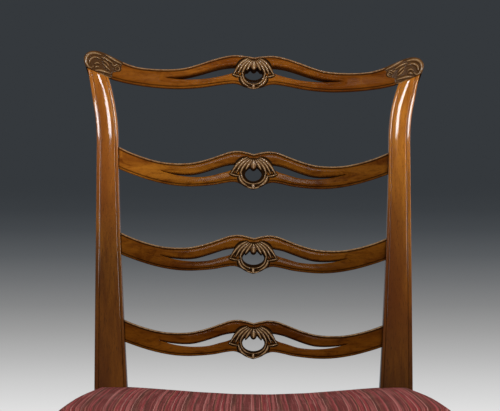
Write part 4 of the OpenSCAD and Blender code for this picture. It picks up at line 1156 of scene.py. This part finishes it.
say("webbing and lining")
webShape = dict(pitchX=112.0, pitchY=104.0, ramp=4.0, inset=5.0, steps=60, points=9, selvedge=1.0, thin=0.25,
                tackInset=9.0, tackPitch=14.0)
layers = dict(hessianInset=6.0, hessianRings=16, middleGap=6.0, liningInset=12.6, liningSag=3.5, sagFrom=14.0,
              sagTo=150.0, pucker=0.35, puckerPoints=10, puckerFade=20.0, trimGap=1.0)
railBack = c["rearRailY"] + c["railT"]
webMiddle = (legFront + railBack) / 2
webHalfL = (railBack - legFront) / 2 - webShape["inset"]
webAcross = [(k - 1) * webShape["pitchX"] for k in range(3)]
webAlong = [webMiddle + (k - 1) * webShape["pitchY"] for k in range(3)]


def webHalfW(y):
    return sideAt(y) - stack - webShape["inset"]


def webStrip(half, places, lifted):
    # Rings of one strip along X, lifted over the strips that it crosses, with thin selvedges
    p = webShape
    flatHalf, count = c["webW"] / 2, p["points"]
    stops = [(-half, 0)]
    for place, up in zip(places, lifted):
        lift = (c["webT"] + c["webGap"]) if up else 0
        stops += [(place - flatHalf - p["ramp"], lift), (place + flatHalf + p["ramp"], lift)]
    stops.append((half, 0))
    sx, sz = np.array(stops).T
    across = np.linspace(-flatHalf, flatHalf, count)
    thin = c["webT"] * np.where(np.abs(across) > flatHalf - p["selvedge"], p["thin"], 0.0)
    rings = []
    for x in np.unique(np.round(np.concatenate([np.linspace(-half, half, p["steps"]), sx]), 3)):
        z = np.interp(x, sx, sz)
        top = np.stack([np.full(count, x), across, z + c["webT"] - thin], axis=1)
        low = np.stack([np.full(count, x), across[::-1], z + thin[::-1]], axis=1)
        rings.append(np.concatenate([low, top])[::-1])
    return rings


def webbing(name, strips):
    points, faces, across = [], [], []
    for rings, (middleX, middleY), turned in strips:
        start, size = len(points), len(rings[0])
        for x, y, z in np.concatenate(rings):
            points.append((middleX + (-y if turned else x), middleY + (x if turned else y), c["railTop"] + z))
            across.append(2 * y / c["webW"])
        last = len(points) - size
        faces += [[start + v for v in face] for face in ringFaces(len(rings), size)]
        faces += [[start + k for k in range(size)][::-1], [last + k for k in range(size)]]
    obj = meshObject(name, points, faces, webJute)
    attribute(obj, "across", across)
    return eased(obj, 60)


def webMaterial():
    s = newShade("webJute")
    x, y, _ = s.place()
    across = s.own("across")

    def stripe(at):
        return at.between(0.56, 0.60) * (1 - at.between(0.72, 0.76))

    rib = x.waves(0.0024) * y.waves(0.0024) * 0.5 + 0.5
    slub = s.noise((x * 300.0, y * 300.0, 0.0), 3.0, 0.6)
    colour = s.blend(rib * 0.6 + slub * 0.4, srgb(124, 96, 58), srgb(186, 158, 110))
    colour = s.blend((stripe(across) + stripe(-1 * across)) * 0.85, colour, srgb(52, 36, 30))
    return s.finish(colour=colour, rough=0.85 + 0.1 * slub, specular=0.2,
                    normal=s.bump(rib + slub, 0.6, 0.0006))


webJute = webMaterial()
lengthwise = [(webStrip(webHalfL, [v - webMiddle for v in webAlong], [(i + j) % 2 == 0 for j in range(3)]),
               (x, webMiddle), True) for i, x in enumerate(webAcross)]
crosswise = [(webStrip(webHalfW(y), webAcross, [(i + j) % 2 != 0 for i in range(3)]), (0, y), False)
             for j, y in enumerate(webAlong)]
webLong = keep(webbing("woven_webbing_lengthwise", lengthwise), "jute", "webbing_lengthwise")
2 * webHalfL * mm
webWide = keep(webbing("woven_webbing_crosswise", crosswise), "jute", "webbing_crosswise")
2 * webHalfW(webMiddle) * mm


def flatCloth(name, insets, low, thick, material, sag=0.0, pucker=0.0):
    # A thin sheet inside the seat's outline, sagging a little in its middle and pulled in at its tacks
    p, first = layers, insets[0]
    lows = []
    for inset in insets:
        ring = levelRing(inset, low - sag * ramp(first + p["sagFrom"], first + p["sagTo"], inset))
        fade = pucker * math.exp(-(inset - first) / p["puckerFade"])
        ring[:, 2] -= fade * (1 + np.cos(np.arange(len(ring)) * 2 * math.pi / p["puckerPoints"]))
        lows.append(ring)
    highs = [ring + (0, 0, thick) for ring in lows]
    points, faces = closedBody(lows[::-1] + highs, (0, seatMidY, low - sag), (0, seatMidY, low - sag + thick))
    return meshObject(name, points, faces, material)


hessianInsets = np.linspace(layers["hessianInset"] + stack, seatHalfD - layers["middleGap"],
                            layers["hessianRings"])
hessian = flatCloth("hessian_cloth", hessianInsets, padLow - c["hessianT"], c["hessianT"], jute)
cutAround(hessian, postBoxes(layers["trimGap"]))
keep(eased(hessian), "jute", "hessian_base")

# The lining's rings lie closer near its edge, where it puckers
liningInsets = [layers["liningInset"] + v for v in (0, 4, 9, 16, 26, 40, 58, 80, 105, 130, 155, 180, 205)]
lining = flatCloth("cambric_lining", liningInsets, coverLow - c["liningT"], c["liningT"], cambric,
                   layers["liningSag"], layers["pucker"])
cutAround(lining, postBoxes(layers["trimGap"]) + legBoxes(layers["trimGap"]))
keep(eased(lining), "black_cambric", "bottom_lining")

say("tacks, screws and stitches")
tackShape = dict(headR=2.6, headT=0.7, dome=0.5, shankR=0.7, length=10.0, sides=12)
# Rows of tacks under the rails: how far in, how many across the front and along a side
coverTacks = dict(inset=8, across=8, along=7)
liningTacks = dict(inset=17, across=6, along=5)
cornerGap = 6  # from a post or leg to the ends of a row


def growTacks(name, points, up, slot, node):
    p = tackShape
    g = Growth("tacks")
    headR, headT, shankR, length = g.lengths(p, headR="Head Radius", headT="Head Thickness",
                                             shankR="Shank Radius", length="Length")
    sides = g.size("Sides", p["sides"])
    head = g.cone(sides, headR, headR * p["dome"], headT)
    shank = g.raised(g.cone(sides, shankR * 0.1, shankR, length + 0.2 * mm), length * -1.0)
    tacks = seedObject(name, points, [(0, 0, up)] * len(points))
    return keep(g.grow(tacks, g.standing(g.joined(head, shank)), steel), slot, node)


def row(first, last, count):
    # Even places with half a space at each end
    return [mix(first, last, (k + 0.5) / count) for k in range(count)]


def hemPoints(z, inset, across, along):
    front, back = legOut - c["legW"] - cornerGap, backHalf - c["postW"] - cornerGap
    spots = [(x, -c["seatD"] + inset, z) for x in row(-front, front, across)]
    spots += [(x, coverBack - inset, z) for x in row(-back, back, across - 2)]
    return spots + [(s * (sideAt(y) - inset), y, z)
                    for s in (-1, 1) for y in row(legBack + cornerGap, -cornerGap, along)]


webTop = c["railTop"] + c["webT"]
spots = [(x + k * webShape["tackPitch"], webMiddle + s * (webHalfL - webShape["tackInset"]), webTop)
         for x in webAcross for s in (-1, 1) for k in (-1, 0, 1)]
spots += [(s * (webHalfW(y) - webShape["tackInset"]), y + k * webShape["tackPitch"], webTop)
          for y in webAlong for s in (-1, 1) for k in (-1, 0, 1)]
growTacks("webbing_tack_row", spots, 1, "steel", "webbing_tacks")
growTacks("cover_tack_row", hemPoints(coverLow, **coverTacks), -1, "steel", "cover_tacks")
growTacks("lining_tack_row", hemPoints(coverLow - c["liningT"], **liningTacks), -1, "steel", "lining_tacks")

screwShape = dict(tipR=0.3, coreR=1.7, threadR=0.42, length=32.0, headR=4.4, headH=2.64, slotW=0.9,
                  slotDeep=1.1, turns=11.0, threaded=20.0, sides=20, seed=5)


def growScrews(name, points, aims):
    # Slotted countersunk wood screws, each point at a tip and each aim towards its head
    p = screwShape
    g = Growth("woodScrews")
    coreR, headR, headH, length = g.lengths(p, coreR="Core Radius", headR="Head Radius", headH="Head Height",
                                            length="Length")
    turns, seed = g.size("Turns", p["turns"]), g.size("Seed", p["seed"])
    slotSize = g.wire("ShaderNodeCombineXYZ", None, {"X": headR * 3.0, "Y": p["slotW"] * mm,
                                                     "Z": 2 * p["slotDeep"] * mm})
    slot = g.raised(g.wire("GeometryNodeMeshCube", None, {"Size": slotSize}), length)
    head = g.raised(g.cone(p["sides"], coreR, headR, headH), length - headH)
    slotted = g.wire("GeometryNodeMeshBoolean", {"operation": "DIFFERENCE"}, {0: head, 1: slot})
    core = g.cone(p["sides"], p["tipR"] * mm, coreR, length - headH)
    thread = g.wire("GeometryNodeCurveSpiral", None,
                    {"Resolution": 12, "Rotations": turns, "Start Radius": p["tipR"] * mm,
                     "End Radius": coreR, "Height": p["threaded"] * mm})
    ridge = g.wire("GeometryNodeCurvePrimitiveCircle", None, {"Resolution": 3, "Radius": p["threadR"] * mm})
    wound = g.wire("GeometryNodeCurveToMesh", None,
                   {"Curve": thread, "Profile Curve": ridge, "Fill Caps": True})
    spin = g.wire("FunctionNodeRandomValue", {"data_type": "FLOAT"},
                  {2: 0.0, 3: math.pi, "Seed": seed}, 1)
    screws = seedObject(name, points, aims)
    return g.grow(screws, g.standing(g.joined(slotted, core, wound), spin), steel)


pegShape = dict(radius=3.2, length=32.0, proud=0.35, stagger=14.0, inset=12.0, sides=20)


def growPegs(name, points, aims):
    # Turned pegs whose faintly domed heads stand a little proud, each point at a blind end
    p = pegShape
    g = Growth("pegs")
    radius, length, proud = g.lengths(p, radius="Radius", length="Length", proud="Proud")
    body = g.cone(p["sides"], radius * 0.9, radius, length)
    head = g.raised(g.cone(p["sides"], radius, radius * 0.7, proud), length)
    return g.grow(seedObject(name, points, aims), g.standing(g.joined(body, head)), pegWood)


# Pegs through the rails' tenons, in the posts and in the legs
pegZ = (c["railLow"] + c["railTop"]) / 2
tall, inset, stagger = pegShape["length"], pegShape["inset"], pegShape["stagger"]
ends, aims = [], []
for s in (-1, 1):
    ends += [(s * (backHalf - tall), inset, pegZ), (s * (legOut - tall), legBack - inset, pegZ),
             (s * (legOut - c["legW"] + inset), legFront + tall, pegZ - stagger),
             (s * (backHalf - c["postW"] + inset), float(postDepth(pegZ)) - tall, pegZ + stagger)]
    aims += [(s, 0, 0), (s, 0, 0), (0, -1, 0), (0, 1, 0)]
keep(growPegs("turned_rail_pegs", ends, aims), "beech", "rail_pegs")

# Screws through the corner blocks, one or two into each rail
blockShape = dict(length=58.0, height=34.0, drop=10.0, intoRail=14.0, stagger=7.0, near=0.35, far=0.45)
p = blockShape
screwZ = c["railTop"] - p["drop"] - p["height"] / 2
near, far = p["near"] * p["length"], p["far"] * p["length"]
tips, aims = [], []
for s in (-1, 1):
    for y in (legBack + near, -far):
        tips.append((s * (sideAt(y) - stack - c["railT"] + p["intoRail"]), y, screwZ + p["stagger"]))
    z = screwZ - p["stagger"]
    tips.append((s * (legOut - c["legW"] - far), legFront + c["railT"] - p["intoRail"], z))
    tips.append((s * (backHalf - c["postW"] - far), c["rearRailY"] + p["intoRail"], z))
    aims += [(-s, 0, 0), (-s, 0, 0), (0, 1, 0), (0, -1, 0)]
keep(growScrews("slotted_wood_screws", tips, aims), "steel", "corner_block_screws")

stitchShape = dict(pitch=5.0, length=3.2, thick=0.45, stand=0.25, segments=8, rings=6, fromHem=4.0, steps=20)


def growStitches(name, lines):
    # Short stitches along the pleats at the front corners of the cover
    p = stitchShape
    points, edges = [], []
    for line in lines:
        edges += [(len(points) + k, len(points) + k + 1) for k in range(len(line) - 1)]
        points += [tuple(v) for v in line]
    g = Growth("stitches")
    pitch, long, thick = g.lengths(p, pitch="Pitch", length="Stitch Length", thick="Thread Thickness")
    curve = g.wire("GeometryNodeMeshToCurve", None, {0: g.seeds()})
    even = g.wire("GeometryNodeResampleCurve", {"mode": "LENGTH"}, {"Curve": curve, "Length": pitch})
    turn = g.wire("FunctionNodeAlignRotationToVector", {"axis": "Z"},
                  {"Vector": g.wire("GeometryNodeInputTangent")})
    ball = g.wire("GeometryNodeMeshUVSphere", None, {"Segments": p["segments"], "Rings": p["rings"],
                                                     "Radius": 0.5})
    scale = g.wire("ShaderNodeCombineXYZ", None, {"X": thick, "Y": thick, "Z": long})
    many = g.wire("GeometryNodeInstanceOnPoints", None,
                  {"Points": even, "Instance": ball, "Rotation": turn, "Scale": scale})
    return g.grow(seedObject(name, points, None, edges), many, stitchThread)


stitchThread = clothMaterial("stitchThread", srgb(150, 92, 84), srgb(96, 52, 50), 0.0006, 0.7)
# The pleat stands where the cover's front corner reaches furthest out
bends = outline[(outline[:, 1] < -c["seatD"] + c["cornerR"]) & (outline[:, 0] > 0)]
bend = bends[np.argmax(bends[:, 0] - bends[:, 1])]
pleatX, pleatY = bend + np.array([1, -1]) / math.sqrt(2) * stitchShape["stand"]
pleatTop = float(crownAt(bend[0], bend[1])) - c["edgeR"]
pleat = [(pleatX, pleatY, z)
         for z in np.linspace(c["railLow"] + stitchShape["fromHem"], pleatTop, stitchShape["steps"])]
stitches = growStitches("corner_pleat_stitches", [pleat, [(-x, y, z) for x, y, z in pleat]])
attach(stitches, "root")

say("frame")
barShape = dict(width=15.0, height=30.0, round=4.0, ease=0.8, rounds=5, sink=2.0, sideZ=92.0, rearZ=150.0)


def growBar(name, ends, z, material, node):
    # A bar with rounded upper edges between two points of its middle line, let a little into what holds it
    p = barShape
    first, last = (np.array(v, float) for v in ends)
    out = (last - first) / np.hypot(*(last - first)) * p["sink"]
    line = [(*(first - out), z + p["height"] / 2), (*(last + out), z + p["height"] / 2)]
    g = Growth("bar")
    width, height, top, ease = g.lengths(p, width="Width", height="Height", round="Upper Edge Radius",
                                         ease="Lower Edge Radius")
    curve = g.wire("GeometryNodeMeshToCurve", None, {0: g.seeds()})
    curve = g.wire("GeometryNodeSetCurveNormal", {"mode": "Z_UP"}, {"Curve": curve})
    square = g.wire("GeometryNodeCurvePrimitiveQuadrilateral", None, {"Width": width, "Height": height})
    place = g.wire("ShaderNodeSeparateXYZ", None, {0: g.wire("GeometryNodeInputPosition")}, 1)
    upper = place < 0.0
    profile = g.wire("GeometryNodeFilletCurve", {"mode": "POLY"},
                     {"Curve": square, "Count": p["rounds"], "Radius": upper * top + (1.0 - upper) * ease,
                      "Limit Radius": True})
    solid = g.wire("GeometryNodeCurveToMesh", None,
                   {"Curve": curve, "Profile Curve": profile, "Fill Caps": True})
    return keep(g.grow(seedObject(name, line, None, [(0, 1)]), solid, material), "mahogany", node)


# The side stretchers run from the middle of a leg's back to the middle of a post's front
midZ = barShape["sideZ"] + barShape["height"] / 2
postIn = float(postInner(midZ))
rearX, rearY = postIn + (backHalf - postIn) / 2, float(postFront(midZ))
frontX = legOut - c["legW"] / 2


def stretcherX(y):
    return mix(frontX, rearX, (y - legBack) / (rearY - legBack))


for s, side in ((1, "right"), (-1, "left")):
    growBar("eased_" + side + "_stretcher", [(s * frontX, legBack), (s * rearX, rearY)], barShape["sideZ"],
            mahoganyDeep, side + "_stretcher")
crossY = -c["seatD"] / 2
crossHalf = stretcherX(crossY) - barShape["width"] / 2
growBar("eased_cross_stretcher", [(-crossHalf, crossY), (crossHalf, crossY)], barShape["sideZ"], mahoganyBars,
        "cross_stretcher")
rearMid = barShape["rearZ"] + barShape["height"] / 2
rearHalf = float(postInner(rearMid))
rearBarY = float(postFront(rearMid)) + c["postFootD"] / 2
growBar("eased_rear_stretcher", [(-rearHalf, rearBarY), (rearHalf, rearBarY)], barShape["rearZ"],
        mahoganyBars, "rear_stretcher")

legShape = dict(ease=0.7, segments=2, sharpOver=50, flatUnder=0.5)


def softened(node, name, material, slot):
    # The same piece with its sharp edges eased
    p = legShape
    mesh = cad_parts[node].data.copy()
    obj = addObject(name, mesh)
    maker = bmesh.new()
    maker.from_mesh(mesh)
    bmesh.ops.remove_doubles(maker, verts=maker.verts, dist=1e-6)
    bmesh.ops.dissolve_limit(maker, angle_limit=math.radians(p["flatUnder"]), verts=maker.verts,
                             edges=maker.edges)
    maker.to_mesh(mesh)
    maker.free()
    mesh.materials.clear()
    mesh.materials.append(material)
    bevel = obj.modifiers.new("ease", "BEVEL")
    bevel.width = p["ease"] * mm
    bevel.segments = p["segments"]
    bevel.limit_method = "ANGLE"
    bevel.angle_limit = math.radians(p["sharpOver"])
    settle(obj)
    return keep(eased(obj, 30), slot, node)


for node in ("left_front_leg", "right_front_leg"):
    softened(node, "eased_" + node, mahoganyLegs, "mahogany")
for node, material in (("front_seat_rail", beechAcross), ("rear_seat_rail", beechAcross),
                       ("left_seat_rail", beechDeep), ("right_seat_rail", beechDeep),
                       ("front_corner_blocks", beechAcross), ("rear_corner_blocks", beechAcross)):
    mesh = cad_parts[node].data
    mesh.materials.clear()
    mesh.materials.append(material)

say("studio")


def areaLight(name, place, aim, size, power):
    data = bpy.data.lights.new(name, "AREA")
    data.shape = "RECTANGLE"
    data.size, data.size_y = size
    data.energy = power
    obj = addObject(name, data)
    obj.location = place
    dx, dy, dz = (aim[k] - place[k] for k in range(3))
    obj.rotation_euler = (math.atan2(math.hypot(dx, dy), -dz), 0, math.atan2(dy, dx) - math.pi / 2)
    obj.visible_camera = False


# Place, aim, size and power of each lamp, in metres and watts
lamps = dict(frontStrip=((0.0, -2.05, 2.09), (0, 0, 0.85), (0.34, 0.49), 15.5),
             leftSoftbox=((-2.2, -1.2, 1.9), (0, 0, 0.6), (0.9, 1.4), 16),
             rightSoftbox=((2.2, -1.2, 1.9), (0, 0, 0.6), (0.9, 1.4), 52),
             rearSoftbox=((0.0, 2.2, 2.0), (0, 0, 0.6), (2.0, 1.0), 10))
for name, lamp in lamps.items():
    areaLight(name, *lamp)


def floorPlane(half):
    s = newShade("paleFloor")
    x, y, _ = s.place()
    grain = s.noise((x * 8.0, y * 8.0, 0.0), 3.0)
    colour = s.blend(grain * 0.25, (0.74, 0.74, 0.74, 1), (0.68, 0.68, 0.68, 1))
    mesh = bpy.data.meshes.new("floor")
    corners = [(-half, -half, 0), (half, -half, 0), (half, half, 0), (-half, half, 0)]
    mesh.from_pydata(corners, [], [(0, 1, 2, 3)])
    mesh.materials.append(s.finish(colour=colour, rough=0.9, specular=0.2))
    addObject("floor", mesh)


floorPlane(2.6)


def backdrop():
    # Greys that darken upward behind the back, for the camera alone; the pieces get an even light
    tones = [(0.0, 236), (0.15, 224), (0.262, 203), (0.355, 180), (0.448, 157), (0.543, 133), (0.637, 112),
             (0.73, 90), (0.824, 71.5), (0.90, 61), (0.96, 57), (1.0, 56)]
    stops = []
    for place, tone in tones:
        cool = 3 * (1 - ramp(60, 160, tone))
        stops.append((place, srgb(tone - cool, tone + 0.3 * cool, tone + 1.6 * cool)))
    world = bpy.data.worlds.new("studio")
    bpy.context.scene.world = world
    s = Shade(world)
    height = s.wire("ShaderNodeSeparateXYZ", None, {0: s.wire("ShaderNodeTexCoord", output="Generated")}, 2)
    at = s.wire("ShaderNodeMapRange", None, {0: height, 1: -0.060, 2: 0.040})
    greys = s.wire("ShaderNodeValToRGB", {"stops": ("LINEAR", stops)}, {0: at})
    seen = s.wire("ShaderNodeBackground", None, {0: greys, 1: 1.0})
    soft = s.wire("ShaderNodeBackground", None, {0: (0.62, 0.63, 0.65, 1.0), 1: 0.28})
    byCamera = s.wire("ShaderNodeLightPath", output="Is Camera Ray")
    both = s.wire("ShaderNodeMixShader", None, {0: byCamera, 1: soft, 2: seen})
    s.node("ShaderNodeOutputWorld", None, {0: both})


backdrop()

# The camera stands four metres in front of the back, a little over the seat, and looks slightly up
view = dict(away=4.0, height=0.595, aside=-0.0053, tilt=91.82, lens=191.6, sensor=36, farthest=60)
cameraData = bpy.data.cameras.new("camera")
cameraData.lens = view["lens"]
cameraData.sensor_width = view["sensor"]
cameraData.clip_end = view["farthest"]
camera = addObject("camera", cameraData)
camera.location = (view["aside"], -view["away"] + c["shift"] * mm, view["height"])
camera.rotation_euler = (math.radians(view["tilt"]), 0, 0)
bpy.context.scene.camera = camera
bpy.context.scene.view_settings.view_transform = "Standard"

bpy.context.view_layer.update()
say("done")
